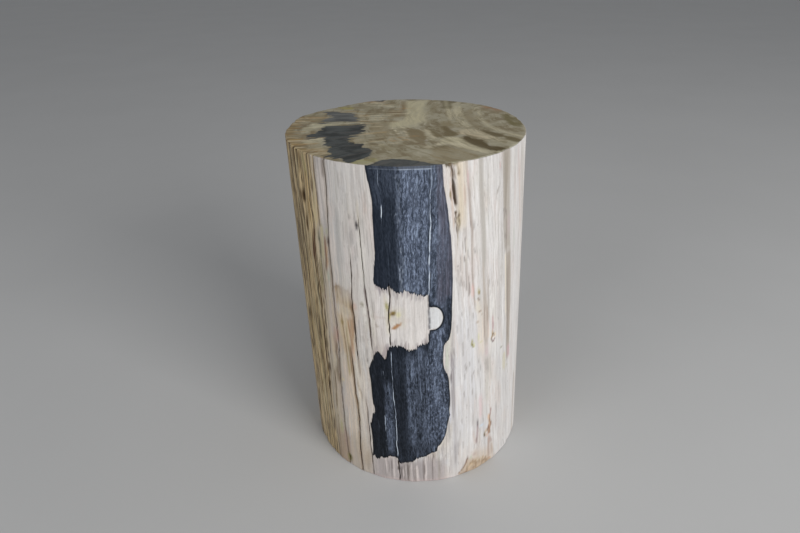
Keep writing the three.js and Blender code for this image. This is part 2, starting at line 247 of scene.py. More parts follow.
laid = []
for i, s in enumerate(SPINES):
    angle, half, depth, on = lay_spine(s, i)
    if s["name"] == "notch":  # open in the cream, a filled pale thread in the black
        t = row_t
        cream = ramp(t, 0.49, 0.505) * (1 - ramp(t, 0.68, 0.70)) + (1 - ramp(t, 0.074, 0.086))
        depth = depth * np.clip(cream, 0.06, 1.0)
        half = np.where(cream > 0.3, half, 0.56)
        s["dark_at"] = np.clip(cream, 0, 1)
        s["light_at"] = (0.76 + 0.18 * ramp(t, 0.30, 0.2)) * ramp(t, 0.09, 0.11) * (1 - ramp(t, 0.47, 0.49)) * np.interp(t, np.linspace(0, 1, 60), rng.uniform(0.6, 1.1, 60)) + 0.8 * ramp(t, 0.865, 0.875) * (1 - ramp(t, 0.895, 0.91)) + 0.25 * ramp(t, 0.70, 0.75) * (1 - ramp(t, 0.99, 1.0)) + 0.25 * ramp(t, 0.945, 0.955) * (1 - ramp(t, 0.985, 0.995))
    elif s["name"] == "facet_vein":
        t = row_t
        s["dark_at"] = 0.0 * t
        s["light_at"] = ramp(t, 0.650, 0.665) * (0.70 + 0.30 * ramp(t, 0.9, 0.8)) * (1 - 0.9 * np.exp(-((t - 0.912) / 0.006) ** 2)) * (1 - 0.55 * np.exp(-((t - 0.735) / 0.008) ** 2)) * (1 - 0.4 * np.exp(-((t - 0.775) / 0.005) ** 2))
        depth = depth * 0.4
        half = half * (1 + 0.5 * ramp(t, 0.887, 0.875) * ramp(t, 0.69, 0.70))
        s["light_at"] = s["light_at"] * np.interp(t, np.linspace(0, 1, 90), rng.uniform(0.8, 1.25, 90))
        s["light_at"] = np.maximum(s["light_at"], 1.4 * np.exp(-(((t - 0.82) / 0.006) ** 2)))
    elif s["name"] == "hollow":
        t = row_t
        wide_at = ramp(t, 0.868, 0.912) * (1 - ramp(t, 0.936, 0.970))
        half = 0.35 + 0.85 * half * (0.25 + 0.75 * wide_at)
        depth = depth * (0.35 + 0.65 * wide_at)
        s["dark_at"] = on * (0.35 + 0.65 * wide_at)
        s["light_at"] = 0.0 * t
    else:
        s["dark_at"] = on
        s["light_at"] = 0.0 * row_t
    laid.append((angle, half, depth, s))
laid.sort(key=lambda q: float(np.mean(q[0])))

# Where a line has ended, its columns stand aside for the lines still running.
ang = np.array([q[0] for q in laid])
reach = np.array([q[1] + 0.5 for q in laid]) / ARC
yields = np.array([np.where(q[2] > 0.02, 0.02, 1.0) for q in laid])
asked = ang.copy()


def stand_aside(sweeps, spare):
    for _ in range(sweeps):
        for i in range(len(ang)):
            j = (i + 1) % len(ang)
            turn = 360.0 if j == 0 else 0.0
            lack = np.clip(reach[i] + reach[j] + spare / ARC - (ang[j] + turn - ang[i]), 0, None)
            share = yields[i] / (yields[i] + yields[j])
            ang[i] -= lack * share
            ang[j] += lack * (1 - share)


stand_aside(40, 0.6)
for _ in range(4):
    moved = ang - asked
    moved[:, 1:-1] = (moved[:, 1:-1] * 2 + moved[:, 2:] + moved[:, :-2]) / 4
    ang = asked + moved
    stand_aside(6, 0.45)
assert np.isfinite(ang).all() and np.abs(ang - asked).max() < 8.0
laid = [(ang[i], q[1], q[2], q[3]) for i, q in enumerate(laid)]

columns = []  # angle at every row, crack depth, darkness, lightness


def pace(th):
    """Distance between columns in mm: finer on the front."""
    front = ramp(wrap(th - 270.0) + 76.0, 0.0, 8.0) * (1 - ramp(wrap(th - 270.0) - 66.0, 0.0, 8.0))
    return 2.35 - 1.1 * front


SHAPES = {
    7: [(-1, -0.5, 0.0, 0.0), (-1, 0, 0.05, 0.3), (-0.42, 0, 0.66, 0.92), (0, 0, 1.0, 1.0), (0.42, 0, 0.66, 0.92), (1, 0, 0.05, 0.3), (1, 0.5, 0.0, 0.0)],
    5: [(-1, -0.45, 0.0, 0.0), (-1, 0, 0.06, 0.25), (0, 0, 1.0, 1.0), (1, 0, 0.06, 0.25), (1, 0.45, 0.0, 0.0)],
}
for n, (angle, half, depth, s) in enumerate(laid):
    shape = SHAPES[7 if s["d"] >= 2.4 else 5]
    cluster = []
    for share, extra, deep, tone in shape:
        cluster.append((angle + (share * half + extra) / ARC, deep * depth, tone * s["dark"] * s["dark_at"], tone * s["light_at"]))
    if columns:
        before = columns[-1][0]
        gap = cluster[0][0] - before
        if gap.min() * ARC < 0.35:
            print("SPINES TOO CLOSE", s["name"], round(float(gap.min() * ARC), 2))
            gap = np.maximum(gap, 0.3 / ARC)
        count = max(0, round(float(gap.mean() * ARC / pace(float(np.mean(before + gap / 2))))) - 1)
        zero = np.zeros(ROWS)
        for k in range(1, count + 1):
            columns.append((before + gap * k / (count + 1), zero, zero, zero))
    columns += cluster
gap = columns[0][0] + 360.0 - columns[-1][0]
last = columns[-1][0]
count = round(float(gap.mean() * ARC / 2.3)) - 1
for k in range(1, count + 1):
    columns.append((last + gap * k / (count + 1), np.zeros(ROWS), np.zeros(ROWS), np.zeros(ROWS)))

TH = np.array([c[0] for c in columns]).T  # rows x columns
CRACK = np.array([c[1] for c in columns]).T
DARK = np.array([c[2] for c in columns]).T
LIGHT = np.array([c[3] for c in columns]).T
COLS = TH.shape[1]
T = np.repeat(row_t[:, None], COLS, 1)
grain_u = np.mean(grain_of(TH, T), axis=0)  # one grain line per column
U = np.repeat(grain_u[None, :], ROWS, 0)

# ---------------------------------------------------------------------------
# Relief of the side: all of it goes inward, so the log stays in its box.
# ---------------------------------------------------------------------------


def rustic_of(th, t):
    """How weathered and ochre the stone is: the left flank and most of the back."""
    drift = 6.5 * np.sin(6.4 * t + 1.1) + 3.2 * np.sin(15.0 * t + 0.4)
    left = ramp(wrap(th - 228.0), 6.0, -14.0) * ramp(wrap(th + drift - 228.0), -128.0, -96.0)
    back = 0.55 * np.exp(-((wrap(th - 75.0) / 30.0) ** 2)) + 0.3 * np.exp(-((wrap(th - 20.0) / 16.0) ** 2))
    return np.clip(left + back, 0, 1)


PITS = [  # angle, t, half width, half height, depth in mm
    (247.4, 0.843, 1.6, 3.4, 1.4), (261.7, 0.602, 2.6, 2.2, 1.2), (262.6, 0.566, 3.4, 1.8, 0.9),
    (246.9, 0.613, 2.2, 2.6, 0.6), (254.3, 0.557, 1.9, 2.2, 0.7), (230.6, 0.028, 3.6, 6.0, 1.6),
    (299.0, 0.478, 1.8, 4.0, 1.1), (312.5, 0.458, 2.6, 2.0, 1.5), (312.4, 0.478, 2.2, 3.0, 0.8),
    (302.5, 0.637, 1.6, 5.0, 0.9), (302.4, 0.612, 1.4, 3.0, 0.8), (308.2, 0.122, 2.6, 4.2, 1.1),
    (311.6, 0.17, 2.4, 9.0, 0.8), (311.2, 0.115, 2.6, 6.0, 0.7), (313.4, 0.908, 1.5, 3.0, 0.6),
    (290.4, 0.872, 1.8, 4.5, 1.6), (291.4, 0.856, 2.6, 3.0, 1.2), (291.5, 0.838, 1.8, 3.4, 1.4),
    (291.0, 0.822, 0.9, 2.6, 1.0), (288.2, 0.925, 1.4, 5.0, 1.0), (292.2, 0.972, 2.0, 4.0, 1.3),
    (287.4, 0.99, 2.6, 4.0, 1.8), (216.0, 0.88, 2.8, 9.0, 1.2), (216.0, 0.81, 2.0, 7.0, 1.0),
    (210.6, 0.26, 2.6, 8.0, 1.2), (242.4, 0.31, 1.8, 5.0, 0.8), (296.6, 0.05, 2.4, 3.6, 0.8),
    (188.0, 0.74, 3.0, 8.0, 1.6), (171.0, 0.36, 2.6, 9.0, 1.4), (147.0, 0.80, 3.2, 7.0, 1.6),
    (118.0, 0.22, 2.8, 8.0, 1.3), (82.0, 0.55, 3.4, 9.0, 1.8), (61.0, 0.78, 2.6, 7.0, 1.4),
    (27.0, 0.44, 2.8, 8.0, 1.3), (358.0, 0.19, 2.4, 6.0, 1.1),
]
CHIPS = [  # nicks out of the seat's edge: angle, half width, extra size in mm
    (288.6, 3.2, 3.0), (292.4, 2.4, 1.8), (286.6, 1.6, 1.3), (233.1, 2.2, 1.6), (221.8, 2.6, 1.4),
    (209.0, 3.4, 1.5), (198.2, 2.8, 1.8), (313.6, 1.8, 0.6), (328.0, 2.2, 0.7), (178.0, 3.0, 1.2),
    (160.4, 2.4, 1.6), (140.0, 3.2, 1.3), (104.0, 4.0, 1.8), (74.2, 3.0, 2.0), (48.0, 2.6, 1.1),
    (36.2, 2.2, 1.6), (12.0, 2.6, 0.9), (346.0, 2.4, 0.8),
]

n_wide, n_mid, n_thin = Lattice(3, 34, 5), Lattice(4, 97, 9), Lattice(5, 230, 14)
n_furrow, n_rim, n_rub = Lattice(6, 190, 7), Lattice(7, 140, 2), Lattice(8, 420, 130)
rustic = rustic_of(TH, T)
in_band = np.exp(-((wrap(TH - 268.0) / 15.0) ** 4))
relief = 0.32 * n_wide(U, T) + 0.20 * n_mid(U, T) + 0.10 * n_thin(U, T)
furrow = ramp(n_furrow(U, T), 0.58, 0.86)
relief = relief * (1 - 0.5 * in_band) + rustic * (0.25 * n_mid(U, T) + 1.15 * furrow) + 0.12 * (1 - rustic) * (1 - in_band) * furrow
for a, t0, rx, ry, deep in PITS:
    q = (wrap(TH - a) * ARC / rx) ** 2 + ((T - t0) * TALL / ry) ** 2
    relief += deep * np.clip(1 - q, 0, 1) ** 1.3 * (0.7 + 0.6 * n_rub(TH, T))
broken = np.exp(-((wrap(TH - 290.6) * ARC / 5.0) ** 2)) * ramp(T, 0.80, 0.84)
relief += broken * 1.1 * ramp(n_rub(TH, T), 0.45, 0.9)

arris = SEAT_ARRIS * (0.42 + 0.5 * n_rim(TH[-1], 0.0) + 0.0 * TH[-1])
arris *= 0.8 + 0.5 * rustic[-1] * n_rub(TH[-1], 0.5)
arris = np.minimum(arris, SEAT_ARRIS)
for a, half, extra in CHIPS:
    arris = arris + extra * np.clip(1 - (wrap(TH[-1] - a) * ARC / half) ** 2, 0, 1) * (0.6 + 0.6 * n_rub(TH[-1], 0.2))
foot_arris = FOOT_ARRIS * (0.55 + 0.45 * n_rim(TH[0], 1.0))

inset = relief + CRACK
Z = np.zeros_like(TH)
nf, nm = len(FOOT_PHI), len(mid_z)
for j, phi in enumerate(FOOT_PHI):
    Z[j] = foot_arris * (1 - math.sin(phi))
    inset[j] = np.maximum(inset[j], relief[j] * 0.4 + foot_arris * math.sin(phi) ** 2)
for j in range(nm):
    z = np.full(COLS, mid_z[j])
    low_end, high_start = 16.0, TALL - 22.0
    z = np.where(z < low_end, foot_arris + (z - FOOT_ARRIS) * (low_end - foot_arris) / (low_end - FOOT_ARRIS), z)
    z = np.where(z > high_start, high_start + (z - high_start) * (TALL - arris - high_start) / (TALL - SEAT_ARRIS - high_start), z)
    Z[nf + j] = z
for j, phi in enumerate(SEAT_PHI):
    Z[nf + nm + j] = TALL - arris * (1 - math.sin(phi))
    inset[nf + nm + j] = np.maximum(inset[nf + nm + j], relief[nf + nm + j] * 0.4 + arris * (1 - math.cos(phi)))
T = Z / TALL
R = ground_radius(TH, T) - inset


def axis_x(t):
    return LEAN * (1 - np.clip(t, 0, 1))


# The box of the solid fixes where the log stands.
probe_t = np.repeat(np.linspace(0, 1, 21)[:, None], 1440, 1)
probe_th = np.repeat(np.linspace(0, 360, 1440, endpoint=False)[None, :], 21, 0)
probe_r = facet_radius(probe_th, probe_t)
probe_x = axis_x(probe_t) + probe_r * np.cos(np.radians(probe_th))
probe_y = probe_r * np.sin(np.radians(probe_th))
SHIFT_X = (LO.x + HI.x) / 2 / MM - (probe_x.min() + probe_x.max()) / 2
SHIFT_Y = (LO.y + HI.y) / 2 / MM - (probe_y.min() + probe_y.max()) / 2
SHIFT_Z = LO.z / MM


def place(th, t, r):
    a = np.radians(th)
    return np.stack([axis_x(t) + r * np.cos(a) + SHIFT_X, r * np.sin(a) + SHIFT_Y, t * TALL + SHIFT_Z], -1)


# ---------------------------------------------------------------------------
# Vertices and faces: side, then the two sawn ends
# ---------------------------------------------------------------------------
points = [place(TH, T, R).reshape(-1, 3)]
v_th, v_t, v_u = [TH.ravel()], [T.ravel()], [U.ravel()]
v_dark, v_light = [DARK.ravel()], [LIGHT.ravel()]
end_rows = np.zeros((ROWS, COLS))
for j in range(nf):
    end_rows[j] = [1.0, 0.62, 0.3][j]
for j in range(len(SEAT_PHI)):
    end_rows[nf + nm + j] = [0.22, 0.45, 0.72, 1.0][j]
v_end = [end_rows.ravel()]
faces = []
grid = np.arange(ROWS * COLS).reshape(ROWS, COLS)
nxt = np.roll(grid, -1, 1)
quads = np.stack([grid[:-1], nxt[:-1], nxt[1:], grid[1:]], -1).reshape(-1, 4)
side_quads = len(quads)
quad_list = [quads]
tri_list = []
total = ROWS * COLS


def cap(top):
    """Rings in from the rim, then an even net of triangles across the sawn face."""
    global total
    row = ROWS - 1 if top else 0
    t = 1.0 if top else 0.0
    rim_r, th = R[row], TH[row]
    base = ground_radius(th, t)
    crack = CRACK[row]
    start = base - rim_r
    ring_ids = [grid[row]]
    for k, extra in enumerate((1.5, 4.4, 10.5)):
        ring_inset = np.maximum(np.maximum(start + 0.35 * (k + 1), extra + 2.0), crack + 0.5 + 0.5 * k)
        if k == 2:
            ring_inset = np.full(COLS, 13.0)
        r = base - ring_inset
        points.append(place(th, np.full(COLS, t), r))
        v_th.append(th)
        v_t.append(np.full(COLS, t))
        v_u.append(grain_u)
        notch = np.clip((crack - ring_inset + 1.2) / 1.2, 0, 1) * 0.0
        v_dark.append(DARK[row] * (0.9 if k == 0 else 0.35 if k == 1 else 0.0) * (crack > 0.5) + notch)
        v_light.append(np.zeros(COLS))
        v_end.append(np.ones(COLS))
        ids = np.arange(total, total + COLS)
        total += COLS
        a, b = ring_ids[-1], np.roll(ring_ids[-1], -1)
        c, d = np.roll(ids, -1), ids
        q = np.stack([a, b, c, d], -1) if top else np.stack([b, a, d, c], -1)
        quad_list.append(q)
        ring_ids.append(ids)
    ring = points[-1][:, :2]
    centre = np.array([axis_x(t) + SHIFT_X, SHIFT_Y])
    fine = 2.5 if top else 6.0
    coarse = 3.9 if top else 6.0

    def hexes(step):
        out = []
        n = int(300 / step)
        for a in range(-n, n + 1):
            for b in range(-n, n + 1):
                out.append((step * (a + 0.5 * (b % 2)), step * 0.8660254 * b))
        return np.array(out)

    inner = hexes(coarse)
    if top:
        def close(p):
            h = TALL
            x, y = p[:, 0] / h, p[:, 1] / h
            return ((x > -0.30) & (x < -0.055) & (y > -0.33) & (y < 0.215)) | ((y < -0.245) & (x > -0.12) & (x < 0.12))
        small = hexes(fine)
        inner = np.concatenate([inner[~close(inner)], small[close(small)]])
        # the two nets may meet too closely along their border
        cell = {}
        kept = []
        for p in inner:
            key = (round(p[0] / 3), round(p[1] / 3))
            near = [q for dx in (-1, 0, 1) for dy in (-1, 0, 1) for q in cell.get((key[0] + dx, key[1] + dy), [])]
            if all((p[0] - q[0]) ** 2 + (p[1] - q[1]) ** 2 > 1.9 ** 2 for q in near):
                kept.append(p)
                cell.setdefault(key, []).append(p)
        inner = np.array(kept)
    jitter = np.random.default_rng(30 + top).uniform(-0.12, 0.12, inner.shape) * coarse
    inner = inner + jitter
    reach = np.hypot(*(ring - centre).T)
    ring_deg = np.degrees(np.arctan2(ring[:, 1] - centre[1], ring[:, 0] - centre[0])) % 360
    order = np.argsort(ring_deg)
    at = np.degrees(np.arctan2(inner[:, 1], inner[:, 0])) % 360
    limit = np.interp(at, ring_deg[order], reach[order], period=360)
    inner = inner[np.hypot(inner[:, 0], inner[:, 1]) < limit - 1.6] + centre
    verts = [Vector(p) for p in ring] + [Vector(p) for p in inner]
    out = delaunay_2d_cdt(verts, [], [list(range(COLS))], 1, 1e-5)
    new_verts, new_faces, source = out[0], out[2], out[3]
    ids = np.full(len(new_verts), -1)
    extra = []
    for i, came in enumerate(source):
        old = [c for c in came if c < COLS]
        if old:
            ids[i] = ring_ids[-1][old[0]]
        else:
            ids[i] = total + len(extra)
            extra.append(new_verts[i])
    extra = np.array([[p.x, p.y] for p in extra])
    z = np.full(len(extra), t * TALL + SHIFT_Z)
    points.append(np.column_stack([extra, z]))
    deg = np.degrees(np.arctan2(extra[:, 1] - centre[1], extra[:, 0] - centre[0])) % 360
    v_th.append(deg)
    v_t.append(np.full(len(extra), t))
    v_u.append(deg)
    v_dark.append(np.zeros(len(extra)))
    v_light.append(np.zeros(len(extra)))
    v_end.append(np.ones(len(extra)))
    total += len(extra)
    co = np.array([[p.x, p.y] for p in new_verts])
    f = np.array(new_faces)
    e1, e2 = co[f[:, 1]] - co[f[:, 0]], co[f[:, 2]] - co[f[:, 0]]
    ccw = e1[:, 0] * e2[:, 1] - e1[:, 1] * e2[:, 0] > 0
    want = ccw if top else ~ccw
    f = np.where(want[:, None], f, f[:, ::-1])
    tri_list.append(ids[f])


cap(True)
cap(False)

P = np.concatenate(points)
v_th, v_t, v_u = np.concatenate(v_th), np.concatenate(v_t), np.concatenate(v_u)
v_dark, v_light, v_end = np.concatenate(v_dark), np.concatenate(v_light), np.concatenate(v_end)
quads = np.concatenate(quad_list)
tris = np.concatenate(tri_list)

# ---------------------------------------------------------------------------
# Markings. Each is a short outline or stroke drawn on the log, turned
# into a distance or a density at every vertex; the shader breaks up the edges.
# ---------------------------------------------------------------------------


def lin(c):
    c = np.array(c, float) / 255.0
    return np.where(c <= 0.04045, c / 12.92, ((c + 0.055) / 1.055) ** 2.4)


def outline_distance(x, y, poly):
    """Signed distance to a closed outline, positive inside."""
    poly = np.array(poly, float)
    best = np.full(x.shape, 1e9)
    level = np.zeros(x.shape)
    inside = np.zeros(x.shape, bool)
    for (ax, ay), (bx, by) in zip(poly, np.roll(poly, -1, 0)):
        ex, ey = bx - ax, by - ay
        h = np.clip(((x - ax) * ex + (y - ay) * ey) / (ex * ex + ey * ey + 1e-12), 0, 1)
        gap = (x - ax - h * ex) ** 2 + (y - ay - h * ey) ** 2
        level = np.where(gap < best, abs(ex) / math.hypot(ex, ey), level)
        best = np.minimum(best, gap)
        if ay != by:
            cross = (ay > y) != (by > y)
            inside ^= cross & (x < ex * (y - ay) / ey + ax)
    return np.where(inside, 1.0, -1.0) * np.sqrt(best), level


BAND = [
    (252.0, 1.08), (253.0, 1.02), (253.4, 0.985), (253.9, 0.965), (254.4, 0.95), (255.0, 0.93), (255.2, 0.91), (255.2, 0.89), (255.0, 0.87),
    (254.9, 0.83), (254.9, 0.79), (255.0, 0.775), (254.6, 0.755), (254.0, 0.74), (253.9, 0.72), (253.6, 0.705), (253.3, 0.70), (253.6, 0.686),
    (254.2, 0.682), (255.0, 0.683), (255.8, 0.681), (256.6, 0.677), (257.0, 0.673), (257.9, 0.672), (258.6, 0.671), (259.2, 0.673), (259.5, 0.677),
    (260.0, 0.679), (260.6, 0.680), (261.5, 0.674), (262.2, 0.669), (262.8, 0.666), (263.6, 0.664), (265.2, 0.666), (267.0, 0.669), (268.5, 0.669),
    (270.0, 0.667), (271.3, 0.664), (272.1, 0.659), (273.4, 0.657), (274.3, 0.658), (275.0, 0.655), (275.8, 0.656), (277.5, 0.657),
    (277.6, 0.64), (277.7, 0.6215), (278.4, 0.6205), (279.4, 0.6205), (280.6, 0.6195), (281.6, 0.6165), (282.6, 0.611), (283.3, 0.604), (283.8, 0.596),
    (284.0, 0.587), (283.9, 0.578), (283.4, 0.569), (282.6, 0.561), (281.5, 0.555), (280.2, 0.552), (279.0, 0.5515), (277.8, 0.5515),
    (277.6, 0.545), (277.2, 0.535), (277.2, 0.525), (277.3, 0.513), (276.6, 0.5105), (275.0, 0.508), (274.2, 0.507), (273.4, 0.504), (272.0, 0.499),
    (271.0, 0.494), (270.0, 0.491), (269.0, 0.490), (267.8, 0.490), (266.8, 0.492), (265.8, 0.497), (264.6, 0.503), (263.6, 0.503), (262.6, 0.500),
    (261.6, 0.501), (260.6, 0.499), (259.8, 0.498), (259.2, 0.494), (258.6, 0.491), (258.0, 0.484), (257.5, 0.475), (257.1, 0.464), (256.8, 0.453),
    (256.2, 0.4515), (255.6, 0.458), (255.0, 0.465), (254.3, 0.472), (253.6, 0.475), (252.8, 0.474), (251.8, 0.467), (251.0, 0.461), (250.6, 0.452),
    (250.1, 0.444), (249.4, 0.438), (248.9, 0.431), (248.3, 0.422), (247.9, 0.416), (248.0, 0.40), (248.3, 0.37), (248.4, 0.34), (248.5, 0.31),
    (248.9, 0.285), (249.3, 0.268), (249.0, 0.255), (248.4, 0.252), (248.0, 0.243), (247.6, 0.236), (247.2, 0.228), (247.0, 0.219), (246.5, 0.211),
    (246.2, 0.204), (246.5, 0.188), (246.6, 0.17), (246.7, 0.15), (246.6, 0.13), (246.5, 0.11), (246.3, 0.09), (246.2, 0.08), (247.0, 0.083),
    (247.8, 0.076), (248.5, 0.074), (249.6, 0.077), (250.4, 0.081), (251.4, 0.087), (252.4, 0.086), (253.4, 0.085), (254.4, 0.089), (255.1, 0.096),
    (256.2, 0.097), (257.5, 0.095), (258.6, 0.094), (259.5, 0.094), (259.9, 0.09), (260.1, 0.075), (261.0, 0.074), (262.5, 0.076), (263.6, 0.078),
    (264.8, 0.079), (265.6, 0.081), (266.3, 0.080), (267.3, 0.085), (268.4, 0.087), (269.0, 0.089), (269.5, 0.096), (270.6, 0.099), (271.7, 0.1005),
    (272.6, 0.102), (273.2, 0.101), (274.2, 0.103), (275.0, 0.108), (276.3, 0.113), (277.5, 0.117), (278.6, 0.118), (279.8, 0.12), (280.0, 0.135),
    (280.6, 0.14), (281.4, 0.143), (281.9, 0.147), (282.6, 0.155), (283.2, 0.162), (284.0, 0.17), (284.6, 0.182), (285.0, 0.198), (285.3, 0.21),
    (285.7, 0.225), (286.3, 0.24), (286.7, 0.252), (286.5, 0.265), (286.9, 0.285), (287.0, 0.31), (286.9, 0.33), (286.7, 0.35), (286.6, 0.37),
    (286.3, 0.385), (286.1, 0.395), (285.4, 0.405), (284.8, 0.414), (284.3, 0.421), (283.9, 0.43), (283.8, 0.455), (284.0, 0.47), (284.2, 0.482),
    (284.4, 0.492), (284.9, 0.50), (285.5, 0.504), (286.3, 0.508), (286.8, 0.516), (287.2, 0.525), (287.6, 0.535), (288.0, 0.55), (288.2, 0.57),
    (288.4, 0.59), (288.3, 0.61), (288.6, 0.64), (288.8, 0.67), (288.9, 0.70), (288.9, 0.73), (288.8, 0.76), (288.5, 0.785), (288.3, 0.81),
    (287.9, 0.83), (287.7, 0.845), (287.3, 0.86), (287.0, 0.88), (286.6, 0.90), (286.2, 0.92), (285.7, 0.935), (285.3, 0.955), (285.1, 0.97),
    (285.0, 0.985), (284.8, 1.02), (285.6, 1.08),
]
LOBE = [
    (277.4, 0.6215), (278.4, 0.6205), (279.4, 0.6205), (280.6, 0.6195), (281.6, 0.6165), (282.6, 0.611), (283.3, 0.604), (283.8, 0.596),
    (284.0, 0.587), (283.9, 0.578), (283.4, 0.569), (282.6, 0.561), (281.5, 0.555), (280.2, 0.552), (279.0, 0.5515), (277.4, 0.5515),
]
# On the seat, in shares of the log's height from the seat's centre.
SEAT_DARK = [
    [(-0.2365, 0.180), (-0.2005, 0.182), (-0.193, 0.167), (-0.157, 0.164), (-0.149, 0.144), (-0.141, 0.113), (-0.135, 0.087), (-0.139, 0.067),
     (-0.180, 0.056), (-0.231, 0.054), (-0.234, 0.072), (-0.2185, 0.113), (-0.229, 0.139), (-0.2365, 0.170)],
    [(-0.239, 0.005), (-0.216, 0.020), (-0.180, 0.028), (-0.154, 0.036), (-0.113, 0.038), (-0.110, 0.0), (-0.113, -0.031), (-0.0975, -0.039),
     (-0.118, -0.052), (-0.131, -0.0775), (-0.144, -0.083), (-0.146, -0.103), (-0.136, -0.129), (-0.131, -0.150), (-0.108, -0.155),
     (-0.0975, -0.1855), (-0.085, -0.206), (-0.082, -0.247), (-0.0975, -0.268), (-0.123, -0.2885), (-0.139, -0.306), (-0.146, -0.278),
     (-0.157, -0.258), (-0.180, -0.263), (-0.2005, -0.242), (-0.182, -0.222), (-0.195, -0.191), (-0.206, -0.160), (-0.211, -0.119),
     (-0.206, -0.098), (-0.221, -0.085), (-0.252, -0.0955), (-0.270, -0.085), (-0.262, -0.067), (-0.244, -0.052), (-0.239, -0.021)],
    [(-0.107, -0.36), (-0.0945, -0.3165), (-0.077, -0.304), (-0.056, -0.281), (-0.031, -0.273), (0.0, -0.278), (0.031, -0.291),
     (0.057, -0.309), (0.0855, -0.3185), (0.096, -0.36)],
]

seat_centre = np.array([axis_x(1.0) + SHIFT_X, SHIFT_Y])
foot_centre = np.array([axis_x(0.0) + SHIFT_X, SHIFT_Y])
is_end = v_end >= 0.999
is_seat = is_end & (v_t > 0.5)
is_foot = is_end & (v_t < 0.5)
seat_xy = (P[:, :2] - seat_centre) / TALL
foot_xy = (P[:, :2] - foot_centre) / TALL * (TOP_R / FOOT_R)

band = np.full(len(P), -30.0)
lobe = np.full(len(P), -30.0)
near = ~is_end & (np.abs(wrap(v_th - 268.0)) < 26.0)
sx, sy = wrap(v_th[near] - 270.0) * ARC, v_t[near] * TALL
comb = np.zeros(len(P))
band[near], comb[near] = outline_distance(sx, sy, [((a - 270.0) * ARC, t * TALL) for a, t in BAND])
comb[near & (v_th > 271.0) & (v_t < 0.25)] *= 0.2
lobe[near] = outline_distance(sx, sy, [((a - 270.0) * ARC, t * TALL) for a, t in LOBE])[0]
# a second, smaller dark seam on the side that faces away
BACK_SEAM = [
    (100.5, 1.08), (101.5, 0.96), (100.0, 0.9), (101.0, 0.82), (99.4, 0.77), (100.4, 0.71), (102.0, 0.66), (103.6, 0.64), (104.4, 0.655),
    (105.8, 0.65), (106.6, 0.67), (107.6, 0.70), (108.4, 0.76), (107.6, 0.82), (108.8, 0.87), (109.4, 0.93), (109.0, 1.08),
]
far = ~is_end & (np.abs(wrap(v_th - 104.0)) < 16.0)
band[far], comb[far] = outline_distance(wrap(v_th[far] - 104.0) * ARC, v_t[far] * TALL, [((a - 104.0) * ARC, t * TALL) for a, t in BACK_SEAM])
for poly in SEAT_DARK:
    d = outline_distance(seat_xy[is_seat, 0] * TALL, seat_xy[is_seat, 1] * TALL, [(a * TALL, b * TALL) for a, b in poly])[0]
    band[is_seat] = np.maximum(band[is_seat], d)
SEAT_BACK = [(-0.062, 0.36), (-0.060, 0.318), (-0.071, 0.302), (-0.088, 0.298), (-0.102, 0.306), (-0.110, 0.315), (-0.118, 0.36)]
d = outline_distance(seat_xy[is_seat, 0] * TALL, seat_xy[is_seat, 1] * TALL, [(a * TALL, b * TALL) for a, b in SEAT_BACK])[0]
band[is_seat] = np.maximum(band[is_seat], d)
FOOT_DARK = [
    [(-0.21, 0.03), (-0.17, 0.07), (-0.12, 0.06), (-0.10, 0.0), (-0.11, -0.08), (-0.08, -0.14), (-0.10, -0.2), (-0.15, -0.24), (-0.19, -0.2), (-0.17, -0.13), (-0.2, -0.07)],
    [(-0.03, -0.22), (0.02, -0.25), (0.05, -0.21), (0.02, -0.17), (-0.02, -0.18)],
]
for poly in FOOT_DARK:
    d = outline_distance(foot_xy[is_foot, 0] * TALL, foot_xy[is_foot, 1] * TALL, [(a * TALL, b * TALL) for a, b in poly])[0]
    band[is_foot] = np.maximum(band[is_foot], d)
band = np.clip(band, -30, 30)
lobe = np.clip(lobe, -30, 30)

# How far the dark stone lightens to slate grey, from 0 to 1: upright patches with
# soft sides, as (angle from, angle to, t from, t to, value, side softness mm).
# Most of it is the stone's own grey; on the flat facet that faces the light it is painted reflection.
slate_and_sheen = np.full(len(P), 0.045)
SLATE_AND_SHEEN = [
    (258.4, 266.4, 0.64, 1.05, 0.075, 4.0), (259.6, 266.6, 0.08, 0.47, 0.10, 3.0),
    # painted reflection: the upper part of the flat facet from 266.4 to 280.2 degrees faces the light and is drawn
    # light slate
    (266.4, 280.2, 0.64, 1.05, 0.66, 3.0), (265.0, 267.6, 0.66, 1.05, 0.32, 3.0), (279.3, 285.4, 0.5, 1.05, 0.52, 2.5),
    (285.2, 290.0, 0.64, 1.05, 0.42, 2.5), (285.2, 290.0, 0.5, 0.64, 0.20, 3.0), (260.5, 265.2, 0.93, 1.05, 0.20, 5.0), (255.6, 260.0, 0.90, 1.05, 0.16, 4.0),
    (277.6, 284.6, 0.42, 0.56, 0.52, 3.0), (275.0, 285.6, 0.15, 0.47, 0.48, 3.0), (266.2, 271.0, 0.15, 0.47, 0.38, 3.0),
    (271.0, 275.2, 0.14, 0.50, 0.33, 2.5), (255.0, 258.9, 0.11, 0.37, 0.34, 2.2), (255.2, 258.2, 0.19, 0.28, 0.50, 2.0),
    (261.4, 264.6, 0.1, 0.4, 0.06, 3.0), (266.0, 276.0, 0.06, 0.15, 0.22, 5.0), (276.0, 282.0, 0.10, 0.16, 0.33, 3.0),
    (285.0, 288.0, 0.2, 0.42, 0.34, 2.0),
]
for a, b, t0, t1, value, soft in SLATE_AND_SHEEN:
    x0, x1 = wrap(v_th - a) * ARC, wrap(b - v_th) * ARC
    w = ramp(x0, -soft, soft) * ramp(x1, -soft, soft) * ramp((v_t - t0) * TALL, -9.0, 9.0) * ramp((t1 - v_t) * TALL, -9.0, 9.0)
    slate_and_sheen = slate_and_sheen * (1 - w) + value * w
slate_and_sheen[far & ~near] = 0.3
vein_x = wrap(v_th - np.interp(v_t, [p[1] for p in SPINES[5]["at"]][::-1], [p[0] for p in SPINES[5]["at"]][::-1])) * ARC
by_vein = (v_t > 0.655) & near
